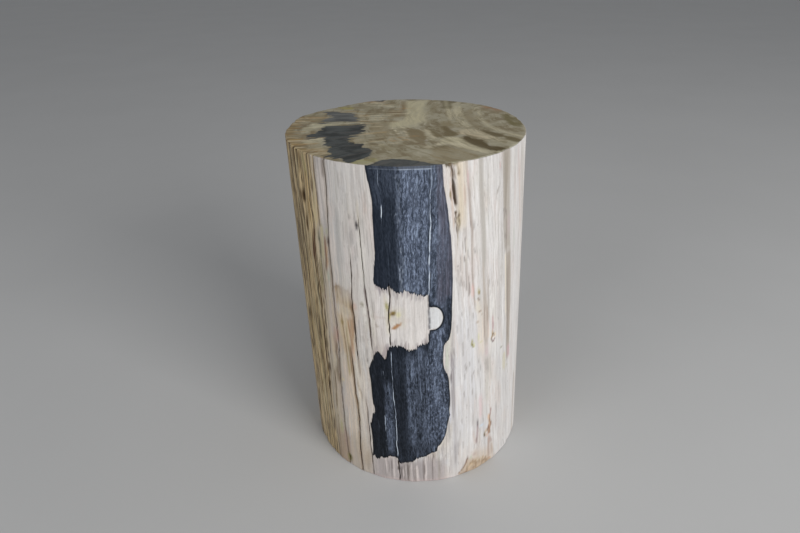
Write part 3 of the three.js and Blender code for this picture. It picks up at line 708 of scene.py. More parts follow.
slate_and_sheen = np.where(by_vein & (vein_x < 0), slate_and_sheen * (1 - 0.75 * np.exp(-(((vein_x + 1.7) / 1.3) ** 2))), slate_and_sheen)
slate_and_sheen = np.where(by_vein & (vein_x > 0), slate_and_sheen * (1 - 0.45 * np.exp(-(((vein_x - 1.7) / 1.3) ** 2))), slate_and_sheen)
slate_and_sheen *= 1 - 0.95 * ramp(lobe, -4.0, -1.2) * (wrap(v_th - 277.9) > 0)
slate_and_sheen *= 1 - 0.9 * np.exp(-((wrap(v_th - 271.6) * ARC / 2.0) ** 2) - ((v_t - 0.183) * TALL / 4.0) ** 2)
slate_and_sheen[is_end] = 0.0
slate_and_sheen[is_seat & (seat_xy[:, 0] < -0.12) & (seat_xy[:, 1] > 0.048)] = 0.34
slate_and_sheen[is_seat & (seat_xy[:, 0] < -0.12) & (seat_xy[:, 1] > 0.085) & (seat_xy[:, 1] < 0.15)] = 0.62
# painted reflection: the black patch at the seat's front edge is drawn greyer
slate_and_sheen[is_seat & (seat_xy[:, 1] < -0.262) & (seat_xy[:, 0] > -0.085)] = 0.20

stain_rgb = np.tile(lin((214, 206, 196)), (len(P), 1))
stain_a = np.zeros(len(P))


def lay(color, a, gain=1.0):
    """One coat of stain over what is there."""
    global stain_a
    a = np.clip(a, 0, 1)
    out = a + stain_a * (1 - a)
    live = out > 1e-5
    c = np.minimum(lin(color) * gain, 0.9)
    stain_rgb[live] = (c[None, :] * a[live, None] + stain_rgb[live] * (stain_a[live] * (1 - a[live]))[:, None]) / out[live, None]
    stain_a = out


side = ~is_end


def stroke(color, at, width, strength, soft=6.0):
    """A stroke along the grain: points (angle, t), half width in mm."""
    at = sorted(at, key=lambda p: p[1])
    t = np.array([p[1] for p in at])
    th = np.array([p[0] for p in at])
    x = wrap(v_th - np.interp(v_t, t, th)) * ARC
    over = np.maximum(np.maximum(t[0] - v_t, v_t - t[-1]), 0) * TALL
    lay(color, side * strength * np.exp(-(np.abs(x / width) ** 2.8) - (over / soft) ** 2))


def bar(color, edges, strength, soft=0.8, end=8.0):
    """A flat streak with crisp sides: (t, left angle, right angle), from the foot up or the seat down."""
    edges = sorted(edges)
    t, a, b = (np.array([e[i] for e in edges]) for i in range(3))
    x0 = wrap(v_th - np.interp(v_t, t, a)) * ARC
    x1 = wrap(np.interp(v_t, t, b) - v_th) * ARC
    w = ramp(x0, -soft, soft) * ramp(x1, -soft, soft) * ramp((v_t - t[0]) * TALL, -end, end) * ramp((t[-1] - v_t) * TALL, -end, end)
    lay(color, side * strength * w)


def scratch(color, a, b, t, strength, width=1.1, fall=0.0):
    """A hair across the grain from angle a to angle b."""
    x, y = wrap(v_th - (a + b) / 2) * ARC, (v_t - t) * TALL
    y = y - fall * x
    half = (b - a) / 2 * ARC
    lay(color, side * strength * np.exp(-((y / width) ** 2)) * ramp(half - np.abs(x), -1.5, 2.5))


def hairs(color, spots, strength, width=0.85, soft=2.5):
    """Short hairs along the grain: (angle, t from, t to)."""
    for a, t0, t1 in spots:
        stroke(color, [(a, t0), (a + 0.1, t1)], width, strength, soft)


def blob(color, th, t, rx, ry, strength, lean=0.0):
    x, y = wrap(v_th - th) * ARC, (v_t - t) * TALL
    x, y = x - lean * y, y
    q = (x / rx) ** 2 + (y / ry) ** 2
    lay(color, side * strength * np.exp(-(q**2.2)))


def strip(color, a, b, t0, t1, strength, soft=8.0, end=12.0):
    w = ramp(wrap(v_th - a) * ARC, -soft, soft) * ramp(wrap(b - v_th) * ARC, -soft, soft)
    w = w * ramp((v_t - t0) * TALL, -end, end) * ramp((t1 - v_t) * TALL, -end, end)
    lay(color, side * strength * w)


def patch(color, outline, strength, soft=1.2):
    """A stained area with a drawn outline (angle, t)."""
    c = float(np.mean([p[0] for p in outline]))
    live = side & (np.abs(wrap(v_th - c)) < 20)
    d = np.full(len(P), -99.0)
    d[live] = outline_distance(wrap(v_th[live] - c) * ARC, v_t[live] * TALL, [((a - c) * ARC, t * TALL) for a, t in outline])[0]
    lay(color, strength * ramp(d, -soft, soft))


def spine_points(name):
    return next(s["at"] for s in SPINES if s["name"] == name)


# -- left flank: ochre, furrowed
strip((216, 192, 147), 184, 227, -0.1, 1.1, 0.70, 14)
strip((197, 186, 166), 222, 231, -0.1, 0.80, 0.60, 7)
bar((186, 180, 176), [(1.02, 227.2, 232.4), (0.90, 227.2, 232.2), (0.80, 227.4, 230.9), (0.79, 227.6, 229.2)], 0.85, 1.6, 6)
strip((208, 199, 182), 233, 243, -0.1, 0.70, 0.45, 9)
bar((228, 209, 188), [(0.42, 232.6, 239.0), (0.30, 232.4, 238.4), (0.13, 232.6, 238.0)], 0.62, 1.6, 14)
bar((226, 217, 204), [(0.42, 241.2, 246.4), (0.30, 241.0, 245.6), (0.15, 240.8, 244.4)], 0.60, 1.4, 14)
bar((216, 199, 172), [(0.42, 221.2, 224.8), (0.30, 220.8, 224.6), (0.15, 219.2, 223.4)], 0.55, 1.6, 14)
bar((172, 150, 128), [(0.13, 223.0, 232.4), (0.06, 222.4, 232.0), (-0.06, 220.0, 230.0)], 0.88, 2.4, 14)
bar((193, 178, 160), [(0.135, 232.8, 245.6), (0.07, 232.4, 245.6), (-0.06, 231.4, 245.0)], 0.80, 1.8, 16)
bar((227, 217, 210), [(0.98, 227.5, 229.5), (0.90, 227.5, 229.5), (0.83, 227.7, 229.7)], 0.80, 1.0, 12)
bar((226, 215, 205), [(0.99, 230.0, 234.6), (0.90, 230.2, 234.6), (0.76, 232.2, 235.8), (0.64, 232.2, 235.6)], 0.62, 1.4, 14)
bar((226, 209, 186), [(0.62, 232.8, 240.4), (0.50, 233.0, 240.2)], 0.60, 1.6, 12)
bar((205, 179, 147), [(0.50, 232.8, 238.8), (0.44, 232.6, 238.4)], 0.55, 1.4, 8)
bar((204, 180, 150), [(0.61, 240.6, 242.3), (0.55, 240.6, 242.3)], 0.60, 0.8, 8)
bar((226, 210, 190), [(0.61, 242.7, 244.8), (0.54, 242.7, 244.8)], 0.60, 0.8, 8)
bar((214, 196, 166), [(0.72, 220.4, 222.2), (0.60, 221.4, 223.8), (0.42, 221.8, 224.2), (0.28, 220.0, 222.6)], 0.60, 1.0, 10)
bar((206, 188, 163), [(0.60, 225.2, 229.8), (0.42, 225.4, 229.8)], 0.60, 1.4, 12)
bar((200, 180, 155), [(0.58, 230.6, 232.5), (0.44, 231.1, 233.2)], 0.60, 0.9, 10)
bar((195, 176, 154), [(0.36, 226.6, 229.2), (0.17, 226.2, 228.6)], 0.60, 1.0, 12)
bar((200, 178, 138), [(0.80, 210.4, 212.8), (0.72, 210.4, 212.8)], 0.60, 1.4, 10)
for color, at, w, k in [
    ((150, 136, 104), [(205.6, 0.99), (204.8, 0.93), (204.2, 0.90)], 2.6, 0.75),
    ((186, 172, 138), [(212.6, 0.97), (211.8, 0.92), (210.6, 0.88), (209.0, 0.85)], 3.0, 0.80),
    ((180, 164, 128), [(207.6, 0.84), (207.4, 0.77), (208.2, 0.70), (209.0, 0.63)], 4.2, 0.75),
    ((184, 170, 136), [(213.0, 0.84), (212.8, 0.76), (212.4, 0.68)], 3.4, 0.75),
    ((186, 172, 140), [(217.8, 0.77), (217.4, 0.70), (217.8, 0.63)], 2.6, 0.80),
    ((196, 184, 152), [(219.0, 0.64), (218.6, 0.59), (219.4, 0.53)], 2.8, 0.80),
    ((176, 166, 116), [(218.8, 0.985), (219.6, 0.965), (220.0, 0.95)], 3.2, 0.80),
    ((178, 150, 104), [(219.6, 0.94), (219.2, 0.88), (219.4, 0.83)], 2.6, 0.80),
    ((208, 190, 150), [(224.4, 0.88), (223.6, 0.85), (223.8, 0.83)], 3.4, 0.90),
    ((200, 184, 154), [(225.0, 0.985), (225.0, 0.96)], 1.9, 0.85),
    ((196, 184, 150), [(225.3, 0.93), (225.0, 0.90)], 1.8, 0.80),
    ((196, 186, 150), [(227.8, 0.81), (227.4, 0.77), (226.9, 0.73)], 3.0, 0.90),
    ((172, 160, 118), [(224.0, 0.70), (223.4, 0.66), (223.2, 0.62)], 2.4, 0.80),
    ((182, 166, 130), [(213.2, 0.56), (212.9, 0.50), (212.6, 0.45), (212.4, 0.40)], 3.2, 0.85),
    ((172, 156, 112), [(217.4, 0.50), (217.0, 0.44), (217.2, 0.40)], 3.2, 0.75),
    ((190, 174, 136), [(213.8, 0.36), (213.9, 0.30), (213.2, 0.23), (212.6, 0.17)], 3.8, 0.85),
    ((196, 182, 150), [(213.6, 0.245), (213.0, 0.21)], 2.4, 0.80),
    ((196, 186, 170), [(222.6, 0.40), (222.4, 0.33), (222.0, 0.27), (222.6, 0.20)], 3.6, 0.80),
    ((200, 190, 178), [(225.4, 0.49), (225.0, 0.45), (225.2, 0.40)], 2.2, 0.80),
    ((188, 176, 152), [(219.6, 0.23), (219.0, 0.17), (219.6, 0.11)], 3.4, 0.70),
    ((186, 172, 150), [(222.4, 0.16), (222.0, 0.10), (222.6, 0.05)], 3.0, 0.70),
    ((178, 172, 124), [(227.0, 0.155), (226.8, 0.13)], 3.4, 0.75),
    ((190, 176, 158), [(228.0, 0.24), (227.6, 0.19)], 2.6, 0.65),
    ((150, 132, 92), [(207.0, 0.56), (205.0, 0.47), (206.0, 0.38)], 4.4, 0.55),
    ((168, 152, 118), [(202.0, 0.96), (200.6, 0.80), (199.6, 0.62)], 4.0, 0.55),
    ((168, 154, 120), [(197.0, 0.9), (196.6, 0.7), (196.0, 0.5), (195.0, 0.3)], 4.0, 0.5),
    ((174, 158, 118), [(208.6, 0.20), (208.0, 0.13), (207.4, 0.06)], 4.0, 0.55),
]:
    stroke(color, at, w * 0.85, k, 5.0)
for color, at, w, k in [
    ((84, 62, 36), [(222.1, 1.0), (222.2, 0.96), (221.5, 0.92), (221.8, 0.88), (221.7, 0.84), (222.5, 0.82), (222.4, 0.79)], 2.3, 0.92),
    ((98, 72, 50), [(221.6, 0.79), (221.2, 0.77), (220.9, 0.74)], 2.9, 0.9),
    ((112, 88, 56), [(221.0, 0.74), (221.0, 0.70), (220.7, 0.66), (221.4, 0.62), (221.1, 0.56)], 1.9, 0.85),
    ((84, 62, 32), [(221.4, 0.51), (220.9, 0.485)], 2.3, 0.95),
    ((98, 74, 54), [(220.4, 0.47), (220.1, 0.44), (219.8, 0.40), (219.6, 0.36)], 1.9, 0.85),
    ((112, 88, 58), [(219.6, 0.345), (219.0, 0.31), (219.3, 0.265)], 1.8, 0.75),
    ((92, 68, 42), [(224.3, 0.995), (224.0, 0.965), (224.4, 0.93), (224.0, 0.91)], 1.9, 0.88),
    ((118, 100, 84), [(226.6, 0.99), (226.3, 0.96), (226.7, 0.90), (226.4, 0.86), (226.5, 0.82)], 1.9, 0.9),
    ((110, 90, 74), [(216.4, 0.98), (215.8, 0.96)], 2.6, 0.7),
    ((106, 82, 48), [(209.9, 1.0), (209.8, 0.96), (209.6, 0.925)], 4.2, 0.8),
    ((104, 80, 52), [(206.2, 0.875), (204.8, 0.85), (205.0, 0.81), (205.8, 0.76)], 4.4, 0.8),
    ((110, 86, 56), [(206.0, 0.74), (205.6, 0.70), (204.8, 0.65), (204.4, 0.60)], 5.4, 0.75),
    ((104, 82, 50), [(217.0, 0.575), (215.4, 0.535), (215.0, 0.51)], 2.9, 0.88),
    ((88, 66, 36), [(215.4, 0.55), (215.0, 0.51)], 2.0, 0.85),
    ((98, 76, 44), [(215.5, 0.48), (215.0, 0.42), (214.7, 0.36)], 1.9, 0.80),
    ((128, 104, 66), [(217.6, 0.37), (217.0, 0.34)], 2.0, 0.7),
    ((82, 60, 36), [(225.0, 0.70), (224.7, 0.66), (225.0, 0.635)], 1.9, 0.92),
    ((112, 66, 58), [(225.0, 0.625), (224.6, 0.60)], 2.6, 0.88),
    ((90, 66, 56), [(224.8, 0.465), (224.3, 0.43), (224.0, 0.41)], 1.7, 0.9),
    ((112, 86, 52), [(210.8, 0.28), (210.5, 0.25), (210.8, 0.215)], 4.2, 0.88),
    ((100, 78, 46), [(216.5, 0.25), (215.7, 0.22)], 2.4, 0.85),
    ((112, 90, 58), [(217.8, 0.20), (218.0, 0.165), (217.8, 0.13)], 2.3, 0.75),
    ((126, 106, 84), [(226.1, 0.35), (225.8, 0.29), (225.2, 0.25), (224.8, 0.22)], 2.2, 0.8),
    ((140, 118, 94), [(224.0, 0.18), (224.8, 0.165), (226.6, 0.17)], 1.7, 0.7),
    ((134, 112, 88), [(221.0, 0.12), (220.6, 0.10)], 2.2, 0.6),
    ((110, 86, 56), [(203.0, 0.50), (202.0, 0.36), (201.6, 0.22)], 3.4, 0.5),
    ((98, 76, 48), [(202.4, 0.19), (202.0, 0.14)], 4.6, 0.75),
    ((112, 88, 58), [(199.0, 1.0), (198.4, 0.93)], 4.6, 0.6),
    ((108, 86, 56), [(194.4, 0.9), (194.0, 0.74), (193.6, 0.5)], 4.6, 0.55),
    ((108, 98, 60), [(217.6, 0.10), (217.0, 0.06)], 4.0, 0.45),
    ((118, 96, 60), [(189.0, 1.0), (188.0, 0.6), (187.0, 0.2)], 5.0, 0.55),
]:
    stroke(color, at, w * (0.46 if w < 4.0 else 0.38), min(1.0, k * 1.16), 3.0)
blob((76, 54, 26), 215.9, 0.881, 4.2, 9.0, 0.97, 0.12)
blob((112, 86, 56), 213.2, 0.878, 4.0, 7.0, 0.7)
blob((86, 64, 32), 215.6, 0.795, 2.5, 8.5, 0.92, -0.1)
stroke((128, 96, 70), [(221.2, 0.78), (220.2, 0.745), (219.4, 0.715)], 3.0, 0.7)
stroke((134, 92, 76), [(219.8, 0.74), (219.4, 0.72)], 2.6, 0.65)
stroke((92, 100, 70), [(225.0, 0.785), (225.4, 0.755), (225.0, 0.735)], 2.0, 0.75)
blob((62, 66, 34), 225.0, 0.774, 1.6, 3.0, 0.8)
blob((176, 184, 160), 229.0, 0.672, 2.2, 7.0, 0.6)
blob((196, 196, 160), 230.8, 0.806, 1.9, 3.6, 0.8)
stroke((198, 162, 122), [(229.8, 0.755), (229.3, 0.735), (229.4, 0.715)], 1.5, 0.85)
stroke((122, 82, 64), [(229.0, 0.775), (228.7, 0.75), (228.6, 0.72), (228.1, 0.70)], 1.5, 0.85)
stroke((128, 118, 100), [(228.3, 0.72), (227.6, 0.695)], 1.4, 0.5)
blob((84, 58, 54), 231.0, 0.778, 2.2, 7.0, 0.9)
stroke((124, 112, 104), [(232.9, 0.995), (232.6, 0.965)], 3.0, 0.85)
stroke((140, 132, 120), spine_points("main")[:7], 2.0, 0.7)
stroke((132, 118, 106), spine_points("main")[7:], 2.2, 0.65)
stroke((168, 128, 110), [(229.0, 0.50), (228.6, 0.47), (229.2, 0.44)], 2.6, 0.55)
stroke((176, 132, 112), [(231.0, 0.50), (230.8, 0.48)], 2.4, 0.7)
stroke((118, 100, 76), [(229.6, 0.45), (228.8, 0.425), (229.6, 0.40), (228.6, 0.36), (229.4, 0.335)], 2.2, 0.8)
blob((212, 196, 160), 231.8, 0.336, 2.2, 2.0, 0.8, -1.6)
stroke((136, 118, 92), [(227.8, 0.36), (228.2, 0.33)], 2.2, 0.7)
stroke((200, 190, 186), [(228.0, 0.58), (227.6, 0.54), (227.8, 0.50)], 2.8, 0.55)
stroke((164, 142, 134), [(229.2, 0.125), (229.0, 0.09)], 1.8, 0.5)
blob((122, 116, 54), 230.9, 0.028, 4.4, 7.5, 0.92)
# -- the tan knot and its streaks
patch((190, 168, 138), [(232.2, 0.646), (233.4, 0.652), (234.8, 0.653), (236.5, 0.651), (237.6, 0.647), (239.2, 0.647), (240.2, 0.642), (241.6, 0.640), (241.5, 0.61), (241.4, 0.585), (239.6, 0.592), (237.0, 0.597), (234.6, 0.6), (232.0, 0.598)], 0.74, 4.0)
patch((172, 142, 106), [(232.4, 0.646), (233.6, 0.652), (235.0, 0.651), (236.6, 0.651), (237.8, 0.645), (239.4, 0.646), (241.4, 0.638), (241.6, 0.622), (240.0, 0.634), (238.2, 0.640), (236.0, 0.630), (234.0, 0.640), (232.6, 0.636)], 0.72, 2.0)
for a, b in ((233.4, 0.651), (234.9, 0.652), (236.5, 0.650), (237.8, 0.645), (239.3, 0.645), (240.9, 0.640)):
    blob((138, 112, 78), a, b, 2.4, 1.7, 0.85, 1.2)
for a, t0, t1, k in ((233.4, 0.655, 0.62, 0.7), (235.2, 0.655, 0.635, 0.5), (236.6, 0.655, 0.61, 0.65), (238.4, 0.65, 0.60, 0.5), (240.2, 0.648, 0.60, 0.7), (241.0, 0.64, 0.59, 0.6)):
    stroke((148, 120, 84), [(a, t0), (a + 0.2, t1)], 1.3, k, 3.0)
for a, t0, t1 in ((234.4, 0.64, 0.61), (237.6, 0.64, 0.605), (239.4, 0.635, 0.60)):
    stroke((206, 190, 158), [(a, t0), (a + 0.1, t1)], 1.2, 0.7, 3.0)
patch((196, 182, 156), [(234.0, 0.598), (241.3, 0.585), (241.2, 0.572), (238.0, 0.57), (234.4, 0.575)], 0.6, 3.0)
patch((200, 181, 150), [(232.6, 0.565), (241.6, 0.56), (241.9, 0.50), (241.6, 0.46), (239.2, 0.42), (237.6, 0.375), (235.8, 0.37), (235.2, 0.42), (234.2, 0.48), (232.8, 0.52)], 0.55, 3.0)
stroke((132, 100, 60), [(234.9, 0.56), (235.3, 0.51), (235.9, 0.46), (236.2, 0.43)], 0.8, 0.9)
stroke((216, 202, 174), [(236.0, 0.56), (236.5, 0.50), (237.0, 0.45)], 0.8, 0.7)
stroke((160, 112, 70), [(238.6, 0.545), (239.3, 0.50), (239.8, 0.46)], 1.0, 0.85)
stroke((176, 140, 104), [(239.5, 0.56), (240.0, 0.51), (240.2, 0.47)], 0.9, 0.75)
stroke((146, 116, 78), [(240.6, 0.55), (240.9, 0.51)], 1.4, 0.7)
stroke((140, 118, 78), [(237.0, 0.52), (237.4, 0.46)], 0.8, 0.75)
stroke((158, 142, 92), [(236.3, 0.42), (236.6, 0.375)], 1.1, 0.75)
stroke((140, 112, 70), [(237.8, 0.44), (238.0, 0.385)], 0.8, 0.75)
stroke((204, 186, 152), [(237.6, 0.54), (237.9, 0.49)], 1.5, 0.7)
stroke((204, 184, 150), [(233.8, 0.55), (234.2, 0.50)], 1.5, 0.6)
blob((146, 126, 76), 235.0, 0.542, 2.4, 4.0, 0.8)
# -- cracks left of the band
stroke((116, 88, 54), spine_points("left_b"), 2.1, 0.8)
stroke((150, 128, 96), [(240.9, 0.345), (241.6, 0.33), (242.4, 0.312), (242.6, 0.30)], 1.5, 0.55)
stroke((104, 76, 44), [(242.0, 0.655), (241.7, 0.63), (241.5, 0.60), (242.1, 0.57), (242.0, 0.53)], 2.3, 0.9)
hairs((92, 84, 76), [(242.9, 0.757, 0.745), (242.7, 0.735, 0.722), (242.8, 0.71, 0.70), (242.4, 0.69, 0.675)], 0.9, 1.3, 1.6)
stroke((128, 106, 82), [(241.9, 0.49), (242.2, 0.455), (242.6, 0.42), (242.9, 0.39)], 1.6, 0.7)
stroke((150, 143, 136), [(242.9, 0.77), (242.7, 0.72), (242.4, 0.68)], 1.5, 0.55)
stroke((196, 156, 122), [(240.6, 0.56), (240.8, 0.52)], 1.5, 0.6)
blob((206, 156, 126), 243.2, 0.606, 2.6, 5.0, 0.75)
stroke((216, 186, 168), [(239.9, 0.46), (240.2, 0.43)], 2.4, 0.4)
stroke((190, 176, 150), [(240.6, 0.27), (240.8, 0.2)], 1.8, 0.4)
stroke((214, 207, 202), [(244.2, 0.66), (244.6, 0.45)], 4.5, 0.6)
blob((168, 146, 112), 243.6, 0.05, 6.0, 22.0, 0.7)
blob((150, 124, 90), 243.2, 0.035, 3.0, 8.0, 0.6)
stroke((104, 80, 64), spine_points("foot_a"), 1.6, 0.75)
stroke((196, 186, 176), [(242.4, 0.2), (242.0, 0.08)], 2.4, 0.4)
# -- pale stone beside the band
strip((212, 207, 201), 235, 254, 0.62, 1.1, 0.55, 8)
strip((216, 207, 197), 243, 254, 0.0, 0.5, 0.42, 6)
bar((228, 223, 216), [(0.84, 247.6, 251.6), (0.70, 246.0, 250.8), (0.55, 246.4, 252.6)], 0.62, 1.4, 16)
bar((226, 222, 216), [(0.53, 243.4, 247.4), (0.44, 243.2, 247.0)], 0.50, 1.4, 12)
bar((206, 201, 196), [(0.99, 244.6, 247.4), (0.88, 244.6, 247.2)], 0.45, 1.4, 12)
stroke((172, 168, 160), [(239.3, 0.99), (239.2, 0.96), (238.9, 0.91)], 1.4, 0.6)
stroke((170, 168, 164), [(237.6, 0.87), (237.0, 0.82), (236.7, 0.77), (236.2, 0.73)], 1.8, 0.6)
stroke((176, 174, 170), [(238.4, 0.86), (238.2, 0.80), (238.6, 0.74)], 2.6, 0.45)
stroke((182, 180, 176), [(236.6, 0.72), (236.9, 0.69)], 1.4, 0.5)
blob((190, 186, 183), 244.4, 0.815, 3.2, 13.0, 0.5)
hairs((160, 155, 151), [(244.1, 0.835, 0.800), (244.9, 0.825, 0.795), (243.7, 0.815, 0.785)], 0.6, 0.9, 2.5)
blob((150, 146, 142), 244.1, 0.862, 1.6, 3.6, 0.8)
hairs((160, 155, 150), [(246.8, 0.875, 0.855), (251.9, 0.905, 0.885), (252.4, 0.93, 0.91), (246.6, 0.79, 0.76), (245.6, 0.78, 0.75), (241.2, 0.93, 0.90), (240.2, 0.97, 0.94), (250.6, 0.86, 0.80), (252.2, 0.83, 0.77), (243.4, 0.92, 0.88), (242.0, 0.97, 0.93), (240.6, 0.84, 0.80), (246.2, 0.73, 0.70), (244.6, 0.56, 0.50), (247.8, 0.47, 0.44), (252.8, 0.63, 0.60), (255.2, 0.59, 0.56)], 0.6, 0.9, 3.0)
stroke((188, 184, 182), [(247.2, 0.98), (247.8, 0.95), (248.0, 0.91)], 1.6, 0.45)
blob((34, 30, 40), 247.4, 0.843, 1.9, 5.0, 1.0)
stroke((178, 176, 166), spine_points("cream_hair")[:6], 1.2, 0.6)
stroke((96, 78, 78), [(249.0, 0.66), (249.3, 0.64), (249.8, 0.60), (250.1, 0.56), (250.3, 0.51)], 1.5, 0.85)
stroke((150, 140, 128), [(250.0, 0.56), (250.1, 0.49), (250.2, 0.46)], 1.1, 0.55)
stroke((218, 206, 186), [(248.8, 0.90), (248.6, 0.86)], 2.0, 0.4)
blob((156, 150, 128), 246.9, 0.617, 2.6, 3.2, 0.85)
blob((136, 124, 104), 253.8, 0.557, 2.0, 3.0, 0.85, -0.5)
blob((196, 186, 176), 250.0, 0.608, 3.0, 2.4, 0.5)
stroke((206, 184, 172), [(251.4, 0.92), (251.9, 0.89)], 2.6, 0.4)
blob((92, 86, 80), 247.6, 0.437, 1.3, 2.8, 0.8)
blob((190, 160, 166), 254.3, 0.066, 2.0, 2.4, 0.5)
# -- the cream notch
strip((219, 214, 210), 254, 277.6, 0.50, 0.665, 0.88, 5, 6)
patch((212, 213, 214), LOBE, 0.97, 0.7)
stroke((208, 201, 176), [(258.4, 0.64), (258.6, 0.60), (259.0, 0.55)], 2.6, 0.5)
strip((218, 211, 190), 260, 267, 0.56, 0.62, 0.42, 4, 5)
blob((150, 144, 76), 258.9, 0.622, 2.2, 5.6, 0.85, -0.1)
blob((206, 196, 110), 259.7, 0.592, 1.4, 5.0, 0.8)
blob((212, 208, 140), 263.9, 0.600, 3.0, 3.4, 0.55)
blob((128, 102, 26), 261.3, 0.6015, 3.5, 3.7, 1.0, 0.2)
blob((96, 76, 18), 261.2, 0.600, 1.6, 1.8, 0.9)
blob((132, 110, 34), 262.2, 0.607, 2.0, 1.7, 0.95, 0.5)
blob((172, 122, 66), 262.1, 0.559, 3.5, 2.6, 1.0, 0.9)
blob((132, 88, 44), 262.0, 0.5585, 1.7, 1.2, 0.8, 0.9)
blob((166, 116, 66), 263.4, 0.5665, 3.2, 2.2, 1.0, 1.0)
blob((176, 134, 90), 264.6, 0.5725, 1.6, 1.2, 0.8, 0.8)
scratch((186, 168, 160), 258.0, 270.0, 0.5835, 0.75, 1.0)
scratch((196, 182, 172), 245.0, 258.6, 0.5845, 0.55, 1.2, 0.03)
# dark dashes between the notch and the lobe: a vein line, with painted shade where the facet turns
hairs((70, 68, 76), [(277.5, 0.652, 0.640), (277.6, 0.632, 0.618), (277.5, 0.610, 0.600), (277.7, 0.590, 0.574), (277.6, 0.566, 0.556)], 0.85, 1.2, 1.4)
blob((132, 112, 84), 259.2, 0.574, 1.6, 4.0, 0.5)
stroke((196, 182, 172), [(257.8, 0.665), (258.0, 0.645)], 1.2, 0.5)
stroke((150, 134, 126), [(261.0, 0.67), (260.9, 0.64), (260.7, 0.612)], 0.9, 0.5)
r5 = np.random.default_rng(17)
edge_a, edge_b = [(254.0, 0.683), (256.0, 0.676), (258.5, 0.670), (260.5, 0.674), (263.0, 0.664), (266.0, 0.668), (268.5, 0.668), (271.0, 0.662), (274.0, 0.655), (277.4, 0.655)], [(251.0, 0.465), (253.0, 0.478), (255.0, 0.462), (257.0, 0.480), (259.5, 0.502), (263.0, 0.506), (266.0, 0.498), (269.0, 0.492), (272.0, 0.502), (275.0, 0.512), (277.4, 0.516)]
for n in range(46):  # the black bleeds into the cream in hairs of uneven length
    a = r5.uniform(254.2, 277.2)
    t = np.interp(a, [q[0] for q in edge_a], [q[1] for q in edge_a])
    tone_at = r5.uniform(0, 1)
    c = (118 + 40 * tone_at, 106 + 44 * tone_at, 112 + 42 * tone_at)
    long = 0.004 + 0.018 * r5.uniform(0, 1) ** 2.2
    stroke(c, [(a, t + 0.006), (a + r5.uniform(-0.15, 0.2), t - long)], r5.uniform(0.55, 0.95), r5.uniform(0.25, 0.95) * (1.0 if a < 265 else 0.75), 1.8)
for n in range(54):
    a = r5.uniform(251.2, 277.2)
    t = np.interp(a, [q[0] for q in edge_b], [q[1] for q in edge_b])
    tone_at = r5.uniform(0, 1)
    c = (122 + 46 * tone_at, 112 + 46 * tone_at, 114 + 46 * tone_at)
    long = 0.003 + 0.017 * r5.uniform(0, 1) ** 2.0
    stroke(c, [(a, t - 0.006), (a + r5.uniform(-0.15, 0.2), t + long)], r5.uniform(0.5, 0.8), r5.uniform(0.2, 0.8), 1.6)
for a, t0, t1, k in ((251.6, 0.5, 0.455, 0.5), (253.6, 0.52, 0.48, 0.4), (255.9, 0.55, 0.47, 0.55), (256.9, 0.58, 0.47, 0.5), (262.8, 0.665, 0.635, 0.5), (269.2, 0.665, 0.64, 0.45), (275.6, 0.652, 0.635, 0.35), (271.2, 0.63, 0.55, 0.25), (266.6, 0.64, 0.60, 0.3)):
    stroke((180, 170, 166), [(a, t0), (a + 0.2, t1)], 0.8, k, 3.0)
# -- under the band, pale with grey threads
strip((188, 181, 176), 240, 300, -0.1, 0.05, 0.55, 14, 16)
strip((168, 160, 159), 246.5, 283, -0.1, 0.09, 0.85, 5, 6)
strip((152, 144, 143), 261, 272, -0.1, 0.075, 0.6, 3, 5)
r6 = np.random.default_rng(23)
for n in range(52):
    a = r6.uniform(247.5, 283.0) if n % 2 else r6.normal(266.5, 3.2)
    top_at = np.interp(a, [246, 253, 259.5, 260.5, 268, 272, 278, 284], [0.092, 0.098, 0.09, 0.072, 0.074, 0.083, 0.11, 0.17])
    t0 = top_at - r6.uniform(0.0, 0.03)
    t1 = max(-0.01, t0 - r6.uniform(0.015, 0.085))
    if n % 3 == 0:
        stroke((222, 212, 208), [(a, t0), (a + 0.1, t1)], r6.uniform(0.7, 1.4), r6.uniform(0.4, 0.8), 3.0)
    else:
        dim = r6.uniform(-30.0, 26.0)
        stroke((102 + dim, 94 + dim, 92 + dim), [(a, t0), (a + r6.uniform(-0.1, 0.2), t1)], r6.uniform(0.55, 0.9), r6.uniform(0.35, 0.95), 3.0)
stroke((158, 152, 144), [(280.6, 0.12), (280.7, 0.06), (280.5, 0.0)], 1.5, 0.7)
blob((62, 54, 52), 260.0, 0.052, 2.1, 2.8, 1.0)
strip((214, 190, 186), 244, 300, -0.05, 0.008, 0.4, 6, 3)
# -- right of the band
strip((218, 216, 214), 286, 342, -0.1, 1.1, 0.45, 8)
strip((230, 227, 225), 329, 346, -0.1, 1.1, 0.48, 8)
strip((206, 206, 210), 289, 303, 0.15, 0.60, 0.35, 8, 30)
stroke((208, 184, 166), [(288.3, 0.95), (288.7, 0.92), (289.2, 0.87), (289.7, 0.845)], 1.5, 0.6)
strip((216, 204, 186), 290.8, 295.6, 0.83, 1.02, 0.75, 3, 7)
stroke((206, 190, 164), [(292.4, 0.99), (292.8, 0.93), (293.2, 0.87)], 2.4, 0.5)
blob((150, 132, 116), 288.9, 0.975, 2.4, 5.0, 0.75)
hairs((104, 86, 66), [(288.6, 0.994, 0.982), (289.2, 0.985, 0.968), (288.2, 0.930, 0.915)], 0.75, 1.0, 2.0)
# painted shade on the hollow's right wall, where the key light would fall
stroke((84, 66, 50), [(289.3, 0.958), (289.7, 0.945), (290.1, 0.932), (290.4, 0.917), (290.6, 0.905), (290.7, 0.897)], 1.6, 0.95, 1.6)
blob((146, 130, 84), 288.0, 0.922, 1.3, 3.6, 0.8)
